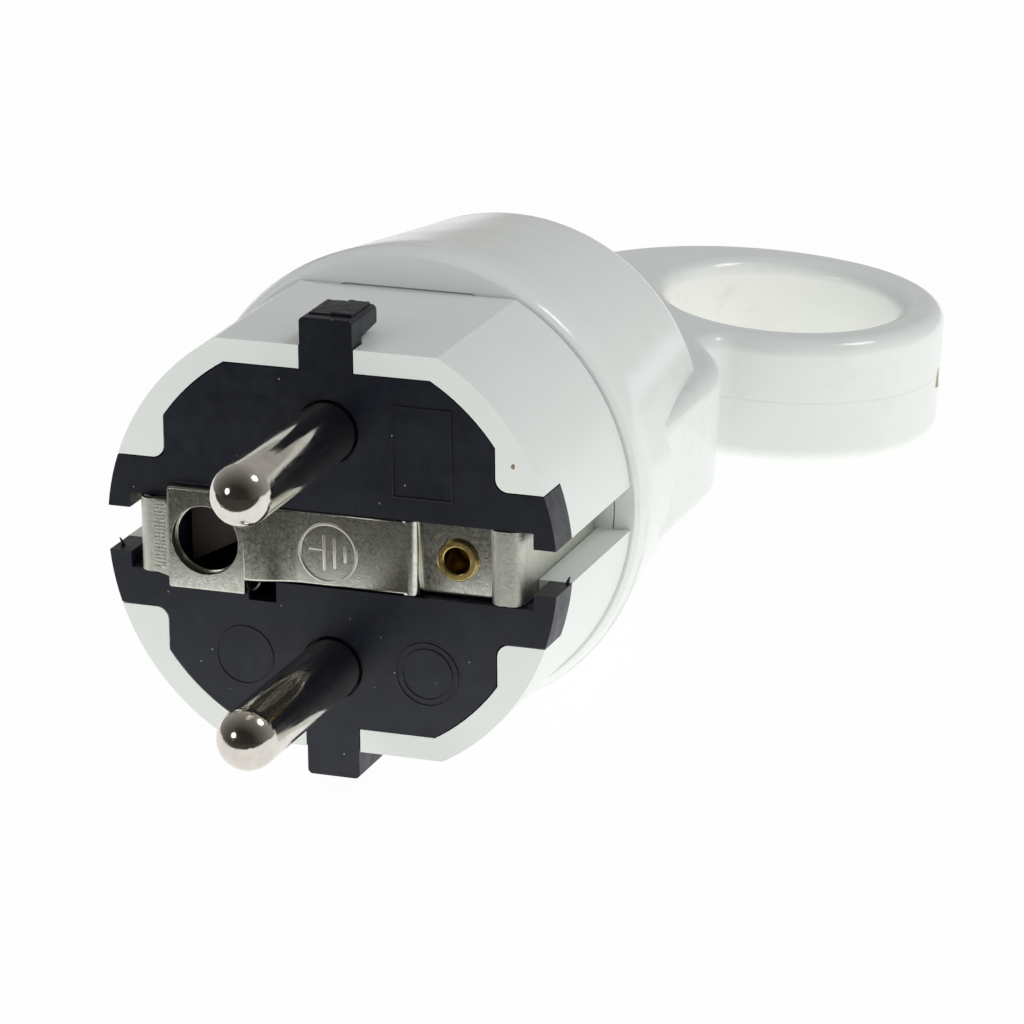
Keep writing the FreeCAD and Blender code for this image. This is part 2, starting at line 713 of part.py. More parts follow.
cover_front = "(skirt_length + seat_gap)"
cover_rear = f"({cover_front} + barrel_length)"
barrel = turned("barrel", [
    ("0", cover_front),
    ("rim_radius - rim_taper - rim_edge", cover_front),
    ("rim_radius - rim_taper", f"{cover_front} + rim_edge"),
    ("rim_radius", f"{cover_front} + rim_edge + rim_taper_length"),
    (BARREL_REAR_RADIUS, f"{cover_rear} - barrel_rear_edge", "barrel_rear_edge", 1),
    (f"{BARREL_REAR_RADIUS} - barrel_rear_edge", cover_rear),
    ("0", cover_rear),
])

limb_x = "(limb_arc - limb_half_width)"
arc_slack = "(limb_arc - ring_radius)"
limb_y = f"(ring_y - sqrt({arc_slack}^2 - (ring_x - {limb_x})^2))"
flank_x = "(rim_radius - flank_inset)"
web_centre = "(web_x + web_fillet)"
web_reach = "(ring_radius + web_fillet)"
web_y = f"(ring_y - sqrt({web_reach}^2 - (ring_x - {web_centre})^2))"
flank_arc = (f"((({web_centre} - {flank_x})^2 + ({web_y} - flank_y)^2 - web_fillet^2)"
             f" / (2 * ({flank_x} - web_x)))")
flank_share = f"({flank_arc} / ({flank_arc} + web_fillet))"
ring = padded("ring", "XY_Plane", [
    ("-limb_half_width", "web_root"),
    ("-limb_half_width", limb_y, "limb_arc", -1),
    (f"{limb_x} + limb_arc * (ring_x - {limb_x}) / {arc_slack}",
     f"{limb_y} + limb_arc * (ring_y - {limb_y}) / {arc_slack}", "ring_radius", -1),
    (f"ring_x + ring_radius * ({web_centre} - ring_x) / {web_reach}",
     f"ring_y + ring_radius * ({web_y} - ring_y) / {web_reach}", "web_fillet", 1),
    (f"{flank_x} - {flank_arc} + ({web_centre} - {flank_x} + {flank_arc}) * {flank_share}",
     f"flank_y + ({web_y} - flank_y) * {flank_share}", flank_arc, -1),
    (flank_x, "flank_y"),
    (flank_x, "web_root"),
], "2 * ring_half_height")
finger_hole = sketch_on(ring, "finger_hole", "XY_Plane")
finger_hole.addGeometry(Part.Circle(FreeCAD.Vector(value_of("ring_x"), value_of("ring_y"), 0),
                                    FreeCAD.Vector(0, 0, 1), value_of("ring_hole_radius")), False)
bind(finger_hole, "DistanceX", "ring_x", -1, 1, 0, 3)
bind(finger_hole, "DistanceY", "ring_y", -1, 1, 0, 3)
bind(finger_hole, "Radius", "ring_hole_radius", 0)
pocket = ring.newObject("PartDesign::Pocket", "finger_hole_cut")
pocket.Profile = finger_hole
pocket.SideType = "Symmetric"
pocket.Type = "ThroughAll"
doc.recompute()
half_height = value_of("ring_half_height")
root = value_of("web_root")
edges = [f"Edge{i}" for i, edge in enumerate(pocket.Shape.Edges, start=1)
         if abs(abs(edge.CenterOfMass.z) - half_height) < NEAR and edge.CenterOfMass.y > root + NEAR]
soft = ring.newObject("PartDesign::Fillet", "ring_edges")
soft.Base = (pocket, edges)
tie(soft, Radius="ring_edge")
ring.Tip = soft
ring.Placement.Rotation = FreeCAD.Rotation(FreeCAD.Vector(0, 1, 0), value_of("cover_turn"))

seat_radius = f"{SPIGOT_RADIUS} + moulding_gap"
cavity_end = f"({cover_rear} - rear_wall)"
outlet_end = "(ring_y + ring_radius)"
cavity = turned("cavity", [
    ("0", f"{cover_front} - overshoot"),
    (seat_radius, f"{cover_front} - overshoot"),
    (seat_radius, f"{spigot_end} + moulding_gap"),
    (CAVITY_FRONT_RADIUS, f"{spigot_end} + moulding_gap"),
    (CAVITY_REAR_RADIUS, cavity_end),
    ("outlet_radius", cavity_end),
    ("outlet_radius", outlet_end),
    ("0", outlet_end),
])
bosses = []
boss_cuts = []
brows = []
for which, side in UPPER_LOWER.items():
    brows.append(common(f"brow_{which}",
                        rod(f"brow_round_{which}", "rim_radius - overshoot", cover_front,
                            f"{cover_front} + brow_depth"),
                        box(f"brow_flat_{which}", ("-rim_radius", "rim_radius"),
                            (cover_front, f"{cover_front} + brow_depth"),
                            side_span(side, "skirt_flat + moulding_gap", "rim_radius"))))
    x, z = f"-{side} * cover_screw_x", f"{side} * cover_screw_z"
    bosses.append(rod(f"boss_{which}", "cover_boss_radius", "insert_depth + moulding_gap",
                      f"{cavity_end} + overshoot", x=x, z=z))
    boss_cuts.append(rod(f"boss_hole_{which}", "screw_radius + metal_gap", "insert_depth", cover_rear,
                         x=x, z=z))
    boss_cuts.append(rod(f"head_sink_{which}", "screw_head_radius + moulding_gap",
                         f"{cover_rear} - cover_head_sink",
                         f"{cover_rear} + overshoot", x=x, z=z))

shell = cut("cover_shell", fuse("cover_outside", barrel, ring), cavity)
node(cut("rear_cover", fuse("cover_bossed", shell, *bosses, *brows), *boss_cuts), "rear_cover")

# Cover screws and the threaded bushes that they pull on
for which, side in UPPER_LOWER.items():
    x, z = f"-{side} * cover_screw_x", f"{side} * cover_screw_z"
    head_seat = f"{cover_rear} - cover_head_sink"
    slotted_screw(f"cover_screw_{which}", head_seat, f"{head_seat} - insert_depth + cover_screw_reach",
                  x=x, z=z)
    sleeve = rod(f"bush_sleeve_{which}", "bush_radius", "insert_depth - bush_length", "insert_depth",
                 x=x, z=z)
    thread = rod(f"bush_thread_{which}", "screw_radius", "insert_depth - bush_length - overshoot",
                 "insert_depth + overshoot", x=x, z=z)
    node(cut(f"cover_bush_{which}", sleeve, thread), f"cover_bush_{which}")

doc.recompute()
for item in doc.Objects:
    if {"Invalid", "Error"} & set(item.State):
        raise RuntimeError(f"{item.Name} failed: {item.State}")
for item in NODES:
    if item.Shape.isNull() or not item.Shape.isValid():
        raise RuntimeError(f"{item.Label} has no valid shape")
    if len(item.Shape.Solids) != 1:
        raise RuntimeError(f"{item.Label} has {len(item.Shape.Solids)} solids")
os.makedirs("parts", exist_ok=True)
for item in NODES:
    item.Shape.exportStep(f"parts/{item.Label}.step")
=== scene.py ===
"""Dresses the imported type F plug: moulded white shells, black insert, plated metal and a plain studio."""

import json
import logging
import math
from collections.abc import Callable, Iterator
from contextlib import contextmanager
from dataclasses import dataclass
from enum import Enum

import bpy
from mathutils import Matrix, Vector


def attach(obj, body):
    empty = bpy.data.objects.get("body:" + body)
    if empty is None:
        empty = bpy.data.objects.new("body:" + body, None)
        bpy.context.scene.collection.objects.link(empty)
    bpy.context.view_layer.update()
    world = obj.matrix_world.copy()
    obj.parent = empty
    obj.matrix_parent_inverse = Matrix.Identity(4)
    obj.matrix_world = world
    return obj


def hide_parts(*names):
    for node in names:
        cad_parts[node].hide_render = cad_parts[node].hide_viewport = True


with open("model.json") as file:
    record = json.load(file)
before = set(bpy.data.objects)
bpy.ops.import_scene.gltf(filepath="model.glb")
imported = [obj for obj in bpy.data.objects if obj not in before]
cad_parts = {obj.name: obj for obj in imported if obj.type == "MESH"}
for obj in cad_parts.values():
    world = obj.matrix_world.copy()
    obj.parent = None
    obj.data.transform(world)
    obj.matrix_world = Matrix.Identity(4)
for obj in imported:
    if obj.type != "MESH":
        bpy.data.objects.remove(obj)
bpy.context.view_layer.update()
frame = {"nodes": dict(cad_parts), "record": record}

MM = 0.001
LOG = logging.getLogger("plug")
BODY = "root"

MERGE_MM = 0.001
ROUND_CORNERS = 72
FACING_SOCKET = (math.pi / 2, 0.0, 0.0)
PLASTIC_IOR = 1.5

Piece = bpy.types.Object
Socket = bpy.types.NodeSocket
Colour = tuple[float, float, float]
Place = tuple[float, float, float]
Span = tuple[float, float]


class Slot(Enum):
    """The record's material slots."""

    COVER = "cover_white"
    SKIRT = "skirt_white"
    INSERT = "insert_black"
    PIN = "pin_nickel"
    STRAP = "strap_nickel"
    EYELET = "eyelet_brass"
    SPRING = "spring_steel"
    SCREW = "screw_zinc"


class Along(Enum):
    """The way that a grain or a streak runs, as the stretch of a pattern on the three axes."""

    NONE = (1.0, 1.0, 1.0)
    X = (0.08, 1.0, 1.0)
    Y = (1.0, 0.06, 1.0)


# Short calls for Blender's operators


def only(piece: Piece) -> None:
    """Selects one object, makes it active and leaves all others unselected."""
    bpy.ops.object.select_all(action="DESELECT")
    piece.select_set(True)
    bpy.context.view_layer.objects.active = piece


@contextmanager
def editing(piece: Piece) -> Iterator[Piece]:
    """Opens edit mode on one object with everything in it selected."""
    only(piece)
    bpy.ops.object.mode_set(mode="EDIT")
    bpy.ops.mesh.select_all(action="SELECT")
    yield piece
    bpy.ops.object.mode_set(mode="OBJECT")


def pick(piece: Piece, kind: str, test: Callable[[bpy.types.bpy_struct], bool]) -> None:
    """Selects, in edit mode, the corners, edges or faces that pass a test.

    Args:
        piece: The object that is open in edit mode.
        kind: What to select, as VERT, EDGE or FACE.
        test: True for what to select.
    """
    bpy.ops.mesh.select_mode(type=kind)
    bpy.ops.mesh.select_all(action="DESELECT")
    bpy.ops.object.mode_set(mode="OBJECT")
    mesh = piece.data
    for part in {"VERT": mesh.vertices, "EDGE": mesh.edges, "FACE": mesh.polygons}[kind]:
        part.select = test(part)
    bpy.ops.object.mode_set(mode="EDIT")


def turn_outward() -> None:
    """Turns, in edit mode, all faces of a closed mesh outwards."""
    bpy.ops.mesh.select_all(action="SELECT")
    bpy.ops.mesh.normals_make_consistent(inside=False)


def pull_out(x: float, y: float, z: float) -> None:
    """Extrudes, in edit mode, what is selected by a move in millimetres."""
    bpy.ops.mesh.extrude_region_move(TRANSFORM_OT_translate={"value": (x * MM, y * MM, z * MM)})


def settle(piece: Piece) -> None:
    """Puts an object's place, turn and scale into its mesh."""
    only(piece)
    bpy.ops.object.transform_apply(location=True, rotation=True, scale=True)


def finish_with(piece: Piece, kind: str, **settings: object) -> None:
    """Adds a modifier, sets it and applies it.

    Args:
        piece: The object to change.
        kind: Blender's name for the modifier type.
        settings: The modifier's settings by name.
    """
    only(piece)
    modifier = piece.modifiers.new(kind.title(), kind)
    for name, value in settings.items():
        setattr(modifier, name, value)
    bpy.ops.object.modifier_apply(modifier=modifier.name)


def smooth(piece: Piece, degrees: float = 35.0) -> None:
    """Shades an object smooth, apart from edges sharper than an angle."""
    only(piece)
    bpy.ops.object.shade_smooth_by_angle(angle=math.radians(degrees), keep_sharp_edges=False)


def name_new(name: str) -> Piece:
    """Names the object that an operator has just added."""
    piece = bpy.context.view_layer.objects.active
    piece.name = name
    piece.data.name = name
    return piece


def linked(name: str, data: bpy.types.ID) -> Piece:
    """Puts a new object with some data into the scene and makes it active."""
    piece = bpy.data.objects.new(name, data)
    bpy.context.scene.collection.objects.link(piece)
    only(piece)
    return name_new(name)


# Materials


@dataclass(frozen=True)
class Clouds:
    """A cloudy noise: the size of one cloud, the number of finer layers and how strong they are."""

    size_mm: float
    detail: float = 4.0
    rough: float = 0.55


class Bench:
    """A material's node tree, with short calls for the nodes that the finishes share."""

    def __init__(self, name: str) -> None:
        """Makes an empty procedural material around one principled shader."""
        self.material = bpy.data.materials.new(name)
        self.material.use_nodes = True
        self.nodes = self.material.node_tree.nodes
        self.links = self.material.node_tree.links
        self.shader = self.nodes["Principled BSDF"]
        self.coords = self.nodes.new("ShaderNodeTexCoord")

    def fix(self, **values: float | Colour) -> None:
        """Sets constant values on the shader's own sockets, with _ for a space in their names."""
        for name, value in values.items():
            socket = self.shader.inputs[name.replace("_", " ")]
            socket.default_value = (*value, 1.0) if isinstance(value, tuple) else value

    def feed(self, name: str, source: Socket) -> None:
        """Links a pattern to one of the shader's sockets."""
        self.links.new(source, self.shader.inputs[name])

    def place(self, stretch: Along = Along.NONE, shift: Place = (0.0, 0.0, 0.0)) -> Socket:
        """Object coordinates, stretched along an axis and shifted by some metres."""
        mapping = self.nodes.new("ShaderNodeMapping")
        mapping.inputs["Scale"].default_value = stretch.value
        mapping.inputs["Location"].default_value = shift
        self.links.new(self.coords.outputs["Object"], mapping.inputs["Vector"])
        return mapping.outputs["Vector"]

    def noise(self, where: Socket, clouds: Clouds) -> Socket:
        """Cloudy noise at some coordinates, from 0 to 1."""
        node = self.nodes.new("ShaderNodeTexNoise")
        node.inputs["Scale"].default_value = 1.0 / (clouds.size_mm * MM)
        node.inputs["Detail"].default_value = clouds.detail
        node.inputs["Roughness"].default_value = clouds.rough
        self.links.new(where, node.inputs["Vector"])
        return node.outputs["Fac"]

    def part(self, where: Socket, axis: str) -> Socket:
        """One of the three coordinates."""
        node = self.nodes.new("ShaderNodeSeparateXYZ")
        self.links.new(where, node.inputs["Vector"])
        return node.outputs[axis]

    def span(self, source: Socket, start: float, end: float) -> Socket:
        """A number that goes from 0 to 1 while a length goes from a start to an end in millimetres."""
        node = self.nodes.new("ShaderNodeMapRange")
        node.inputs["From Min"].default_value = start * MM
        node.inputs["From Max"].default_value = end * MM
        self.links.new(source, node.inputs["Value"])
        return node.outputs["Result"]

    def cells(self, where: Socket, size_mm: float) -> bpy.types.Node:
        """Scattered points: the node's Distance is 0 at a point and its Color is the point's own."""
        node = self.nodes.new("ShaderNodeTexVoronoi")
        node.inputs["Scale"].default_value = 1.0 / (size_mm * MM)
        self.links.new(where, node.inputs["Vector"])
        return node

    def ramp(self, source: Socket, *stops: tuple[float, Colour | float]) -> Socket:
        """Turns a number into a colour, by places from 0 to 1 and the colour or grey at each."""
        node = self.nodes.new("ShaderNodeValToRGB")
        points = node.color_ramp.elements
        while len(points) < len(stops):
            points.new(0.5)
        for point, (place, colour) in zip(points, stops):
            point.position = place
            rgb = colour if isinstance(colour, tuple) else (colour, colour, colour)
            point.color = (*rgb, 1.0)
        self.links.new(source, node.inputs["Fac"])
        return node.outputs["Color"]

    def sum(self, operation: str, first: Socket, second: Socket | float) -> Socket:
        """Combines two numbers by one of Blender's math operations."""
        node = self.nodes.new("ShaderNodeMath")
        node.operation = operation
        self.links.new(first, node.inputs[0])
        if isinstance(second, float):
            node.inputs[1].default_value = second
        else:
            self.links.new(second, node.inputs[1])
        return node.outputs["Value"]

    def weigh(self, first: Socket, second: Socket, share: float) -> Socket:
        """Adds two numbers, with a share of the second and the rest of the first."""
        return self.sum("ADD", self.sum("MULTIPLY", first, 1.0 - share), self.sum("MULTIPLY", second, share))

    def blend(self, share: Socket, under: Socket, over: Socket | Colour) -> Socket:
        """Lays a share, from 0 to 1, of a patterned or plain colour over another one."""
        node = self.nodes.new("ShaderNodeMix")
        node.data_type = "RGBA"
        self.links.new(share, node.inputs["Factor"])
        self.links.new(under, node.inputs["A"])
        if isinstance(over, tuple):
            node.inputs["B"].default_value = (*over, 1.0)
        else:
            self.links.new(over, node.inputs["B"])
        return node.outputs["Result"]

    def bump(self, height: Socket, depth_mm: float, below: Socket | None = None) -> Socket:
        """Relief from a height pattern, on top of a coarser relief if there is one."""
        node = self.nodes.new("ShaderNodeBump")
        node.inputs["Distance"].default_value = depth_mm * MM
        self.links.new(height, node.inputs["Height"])
        if below is not None:
            self.links.new(below, node.inputs["Normal"])
        return node.outputs["Normal"]


@dataclass(frozen=True)
class WhiteMoulding:
    """Gloss white plastic with faint mottling, smudges, a moulded skin and, where given, a painted glow in
    the ring's hole.
    """

    name: str
    slot: Slot
    colour: Colour
    shade: Colour
    smudge: Colour
    smoothest: float
    roughest: float
    smudge_share: float
    # Painted glow: a brighter colour for the inside of the ring's hole, standing in for light through and
    # between thin walls.
    painted_hole_glow: Colour | None = None
    painted_glow_axis: Place = (15.46, 65.7, -1.05)
    painted_glow_radius: float = 10.4
    painted_glow_fade: float = 0.5
    mottle: Clouds = Clouds(8.0, 3.0)
    marks: Clouds = Clouds(1.6, 5.0, 0.65)
    marks_shift: Place = (0.02, 0.01, 0.0)
    patches: Clouds = Clouds(11.0, 2.0)
    gloss: Clouds = Clouds(4.0, 4.0, 0.6)
    wave: Clouds = Clouds(9.0, 1.0)
    wave_depth: float = 0.05
    tone_span: Span = (0.3, 0.7)
    smudge_span: Span = (0.26, 0.46)

    def painted_glow_share(self, bench: Bench) -> Socket:
        """A number that is 1 near the axis of the ring's hole, where a brighter colour is painted in for the
        light that thin walls let through.
        """
        where = bench.place(Along.NONE, tuple(Vector(self.painted_glow_axis) * -MM))
        squares = [bench.sum("POWER", bench.part(where, axis), 2.0) for axis in "XY"]
        away = bench.sum("SQRT", bench.sum("ADD", *squares), 0.0)
        return bench.span(away, self.painted_glow_radius, self.painted_glow_radius - self.painted_glow_fade)

    def make(self) -> bpy.types.Material:
        """Builds the material and returns it."""
        bench = Bench(self.name)
        where = bench.place()
        tones = zip(self.tone_span, (self.shade, self.colour))
        mottle = bench.ramp(bench.noise(where, self.mottle), *tones)
        # Painted light: the base colour turns brighter in the ring's hole, for light that comes through and
        # bounces between the thin white walls.
        if self.painted_hole_glow is not None:
            mottle = bench.blend(self.painted_glow_share(bench), mottle, self.painted_hole_glow)
        marks = bench.noise(bench.place(Along.X, self.marks_shift), self.marks)
        smudges = bench.sum("MULTIPLY", marks, bench.noise(where, self.patches))
        shares = bench.ramp(smudges, *zip(self.smudge_span, (0.0, self.smudge_share)))
        bench.feed("Base Color", bench.blend(shares, mottle, self.smudge))
        gloss = zip(self.tone_span, (self.smoothest, self.roughest))
        bench.feed("Roughness", bench.ramp(bench.noise(where, self.gloss), *gloss))
        bench.feed("Normal", bench.bump(bench.noise(where, self.wave), self.wave_depth))
        bench.fix(IOR=PLASTIC_IOR)
        return bench.material


@dataclass(frozen=True)
class BlackMoulding:
    """Satin blue-black plastic with pale dust specks and worn patches."""

    name: str
    slot: Slot
    colour: Colour
    worn: Colour
    dust: Colour
    smoothest: float
    roughest: float
    clouds: Clouds = Clouds(3.5, 6.0, 0.65)
    gloss: Clouds = Clouds(1.2, 5.0, 0.6)
    wave: Clouds = Clouds(2.2, 3.0)
    wave_depth: float = 0.03
    skin: Clouds = Clouds(0.16, 2.0)
    skin_depth: float = 0.006
    speck_mm: float = 0.9
    speck_span: Span = (0.05, 0.09)
    chosen_span: Span = (0.78, 0.9)
    worn_span: Span = (0.4, 0.72)
    gloss_span: Span = (0.3, 0.7)

    def make(self) -> bpy.types.Material:
        """Builds the material and returns it."""
        bench = Bench(self.name)
        where = bench.place()
        base = bench.ramp(bench.noise(where, self.clouds), *zip(self.worn_span, (self.colour, self.worn)))
        specks = bench.cells(where, self.speck_mm)
        near = bench.ramp(specks.outputs["Distance"], *zip(self.speck_span, (1.0, 0.0)))
        chosen = bench.ramp(specks.outputs["Color"], *zip(self.chosen_span, (0.0, 1.0)))
        bench.feed("Base Color", bench.blend(bench.sum("MULTIPLY", near, chosen), base, self.dust))
        gloss = zip(self.gloss_span, (self.smoothest, self.roughest))
        bench.feed("Roughness", bench.ramp(bench.noise(where, self.gloss), *gloss))
        wave = bench.bump(bench.noise(where, self.wave), self.wave_depth)
        bench.feed("Normal", bench.bump(bench.noise(where, self.skin), self.skin_depth, wave))
        bench.fix(IOR=PLASTIC_IOR)
        return bench.material


@dataclass(frozen=True)
class Metal:
    """Bare or plated metal with stains, streaks and small pits."""

    name: str
    slot: Slot
    bright: Colour
    stain: Colour
    smoothest: float
    roughest: float
    grain: Along
    stain_mm: float
    streak_mm: float
    streak_depth: float
    pit_mm: float
    pit_depth: float
    worn_beyond: float | None = None
    worn_fade: float = 0.4
    worn_rough: float = 0.5
    worn_depth: float = 0.03
    worn_dots: Clouds = Clouds(0.25, 2.0)
    layers: Span = (6.0, 0.65)
    field_layers: Span = (3.0, 0.5)
    field_size: float = 6.0
    field_share: float = 0.4
    streak_layers: Span = (5.0, 0.6)
    streak_share: float = 0.5
    tone_span: Span = (0.4, 0.62)
    rough_span: Span = (0.38, 0.64)
    pit_span: Span = (0.04, 0.2)

    def worn_ends(self, bench: Bench) -> Socket:
        """A number that is 1 on both ends of the piece, beyond some x, and 0 between them."""
        away = bench.sum("ABSOLUTE", bench.part(bench.place(), "X"), 0.0)
        return bench.span(away, self.worn_beyond, self.worn_beyond + self.worn_fade)

    def make(self) -> bpy.types.Material:
        """Builds the material and returns it."""
        bench = Bench(self.name)
        where = bench.place()
        clouds = bench.noise(where, Clouds(self.stain_mm, *self.layers))
        fields = bench.noise(where, Clouds(self.stain_mm * self.field_size, *self.field_layers))
        tone = bench.weigh(clouds, fields, self.field_share)
        bench.feed("Base Color", bench.ramp(tone, *zip(self.tone_span, (self.bright, self.stain))))
        streaks = bench.noise(bench.place(self.grain), Clouds(self.streak_mm, *self.streak_layers))
        wear = bench.weigh(clouds, streaks, self.streak_share)
        rough = bench.ramp(wear, *zip(self.rough_span, (self.smoothest, self.roughest)))
        away = bench.cells(where, self.pit_mm).outputs["Distance"]
        pits = bench.ramp(away, *zip(self.pit_span, (0.0, 1.0)))
        relief = bench.bump(streaks, self.streak_depth, bench.bump(pits, self.pit_depth))
        if self.worn_beyond is not None:
            ends = self.worn_ends(bench)
            rough = bench.blend(ends, rough, (self.worn_rough, self.worn_rough, self.worn_rough))
            dots = bench.sum("MULTIPLY", bench.noise(where, self.worn_dots), ends)
            relief = bench.bump(dots, self.worn_depth, relief)
        bench.feed("Roughness", rough)
        bench.feed("Normal", relief)
        bench.fix(Metallic=1.0)
        return bench.material


Finish = WhiteMoulding | BlackMoulding | Metal

# The cover's last colour is a painted glow, brighter than the plastic, for the inside of the ring's hole.
COVER_WHITE = WhiteMoulding("cover_white", Slot.COVER, (0.785, 0.82, 0.81), (0.77, 0.805, 0.795),
                            (0.7, 0.715, 0.67), 0.12, 0.2, 0.5, (0.935, 0.95, 0.92))
SKIRT_WHITE = WhiteMoulding("skirt_white", Slot.SKIRT, (0.765, 0.80, 0.79), (0.75, 0.785, 0.775),
                            (0.71, 0.735, 0.71), 0.28, 0.34, 0.0)
GATE_TAN = WhiteMoulding("gate_tan", Slot.COVER, (0.52, 0.46, 0.32), (0.44, 0.38, 0.26),
                         (0.4, 0.34, 0.22), 0.4, 0.6, 0.3)
SPECK_BROWN = WhiteMoulding("speck_brown", Slot.SKIRT, (0.3, 0.22, 0.13), (0.22, 0.16, 0.1),
                            (0.2, 0.14, 0.09), 0.5, 0.7, 0.3)
INSERT_BLACK = BlackMoulding("insert_black", Slot.INSERT, (0.0032, 0.0054, 0.0145), (0.0082, 0.0115, 0.0225),
                             (0.3, 0.31, 0.31), 0.34, 0.5)
SOCKET_BROWN = BlackMoulding("socket_brown", Slot.SPRING, (0.035, 0.026, 0.024), (0.042, 0.032, 0.029),
                             (0.1, 0.08, 0.07), 0.5, 0.7)
PIN_NICKEL = Metal("pin_nickel", Slot.PIN, (0.78, 0.75, 0.70), (0.66, 0.62, 0.56), 0.06, 0.2,
                   Along.Y, 1.6, 0.35, 0.004, 0.8, 0.004)
STRAP_NICKEL = Metal("strap_nickel", Slot.STRAP, (0.76, 0.765, 0.68), (0.62, 0.635, 0.56), 0.12, 0.24,
                     Along.NONE, 0.35, 0.22, 0.0018, 0.5, 0.002, worn_beyond=12.9)
SIGN_NICKEL = Metal("sign_nickel", Slot.STRAP, (0.88, 0.86, 0.78), (0.8, 0.78, 0.7), 0.3, 0.42,
                    Along.NONE, 0.4, 0.2, 0.001, 0.5, 0.001)
EYELET_BRASS = Metal("eyelet_brass", Slot.EYELET, (0.68, 0.53, 0.22), (0.5, 0.37, 0.13), 0.14, 0.3,
                     Along.NONE, 0.5, 0.2, 0.001, 0.4, 0.001)
# Painted shade: a darker copy of the eyelet's brass for the far end of its tube, deep in the bore.
TUBE_BRASS_SHADED = Metal("tube_brass_shaded", Slot.EYELET, (0.3, 0.2, 0.06), (0.2, 0.13, 0.04), 0.35, 0.5,
                   Along.NONE, 0.5, 0.2, 0.001, 0.4, 0.001)
SPRING_STEEL = Metal("spring_steel", Slot.SPRING, (0.40, 0.38, 0.36), (0.22, 0.19, 0.16), 0.25, 0.5,
                     Along.Y, 0.9, 0.3, 0.006, 0.5, 0.01)
SCREW_ZINC = Metal("screw_zinc", Slot.SCREW, (0.66, 0.66, 0.64), (0.48, 0.48, 0.47), 0.24, 0.46,
                   Along.NONE, 0.7, 0.25, 0.005, 0.4, 0.008)
SLOT_FINISHES: tuple[Finish, ...] = (COVER_WHITE, SKIRT_WHITE, INSERT_BLACK, PIN_NICKEL, STRAP_NICKEL,
                                     EYELET_BRASS, SPRING_STEEL, SCREW_ZINC)


class Finishes:
    """The materials, each made once, and the finish that every slot has unless a piece says otherwise."""

    def __init__(self) -> None:
        """Sorts the finishes by slot and keeps no material yet."""
        self.by_slot = {finish.slot: finish for finish in SLOT_FINISHES}
        self.made: dict[str, bpy.types.Material] = {}

    def paint(self, piece: Piece, finish: Finish) -> None:
        """Gives a piece one finish all over."""
        if finish.name not in self.made:
            self.made[finish.name] = finish.make()
        piece.data.materials.clear()
        piece.data.materials.append(self.made[finish.name])


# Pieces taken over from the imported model


@dataclass(frozen=True)
class EdgeBreak:
    """How the sharp edges of a moulded, turned or stamped piece are broken."""

    width_mm: float
    segments: int = 2
    sharper_than: float = 30.0
    flat_within: float = 0.05
    merge_mm: float = 0.002
    clamp: bool = True
    normal_weight: int = 100

    def apply(self, piece: Piece) -> None:
        """Bevels the sharp edges of a piece."""
        finish_with(piece, "BEVEL", width=self.width_mm * MM, segments=self.segments, limit_method="ANGLE",
                    angle_limit=math.radians(self.sharper_than), use_clamp_overlap=self.clamp)

    def dressed(self, node: str, name: str, round_first: "Rounding | None" = None) -> Piece:
        """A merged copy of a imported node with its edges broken, which stands for the node.

        Args:
            node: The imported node.
            name: The new piece's name.
            round_first: A larger change of shape that comes before the edges are broken.

        Returns:
            The new piece.
        """
        piece = linked(name, frame["nodes"][node].data.copy())
        bpy.ops.mesh.customdata_custom_splitnormals_clear()
        with editing(piece):
            bpy.ops.mesh.remove_doubles(threshold=self.merge_mm * MM)
            bpy.ops.mesh.dissolve_limited(angle_limit=math.radians(self.flat_within))
        if round_first is not None:
            round_first.apply(piece)
        self.apply(piece)
        smooth(piece)
        finish_with(piece, "WEIGHTED_NORMAL", keep_sharp=True, weight=self.normal_weight)
        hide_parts(node)
        return piece


@dataclass(frozen=True)
class Rounding:
    """A larger rounding for some edges of a merged mesh: those along Y at some x and z, on both sides."""

    radius: float
    segments: int
    x: float = 0.0
    z: float = 0.0
    near: float = 0.02

    def takes(self, *corners: Vector) -> bool:
        """True for an edge to round, given by its corners in millimetres."""
        return all(abs(abs(spot.x) - self.x) < self.near and abs(abs(spot.z) - self.z) < self.near
                   for spot in corners)

    def apply(self, piece: Piece) -> None:
        """Rounds the edges."""
        corners = piece.data.vertices
        with editing(piece):
            pick(piece, "EDGE", lambda edge: self.takes(*[corners[i].co / MM for i in edge.vertices]))
            bpy.ops.mesh.bevel(offset=self.radius * MM, segments=self.segments, affect="EDGES")


@dataclass(frozen=True)
class RimRounding(Rounding):
    """The rounded rim that pressing leaves along the side of the strap that shows."""

    band_half: float = 2.95
    front_to: float = 0.75
    dip_from: float = 7.1
    dip_to: float = 1.05

    def in_front(self, spot: Vector) -> bool:
        """True for a corner on the side of the strap that shows."""
        return spot.y < (self.dip_to if spot.x > self.dip_from else self.front_to)

    def takes(self, *corners: Vector) -> bool:
        """True for an edge along the strap's outline that shows."""
        first, second = corners
        level = abs(first.z - second.z) < self.near
        outside = min(abs(first.z), abs(second.z)) > self.band_half - self.near
        return level and outside and self.in_front(first) and self.in_front(second)


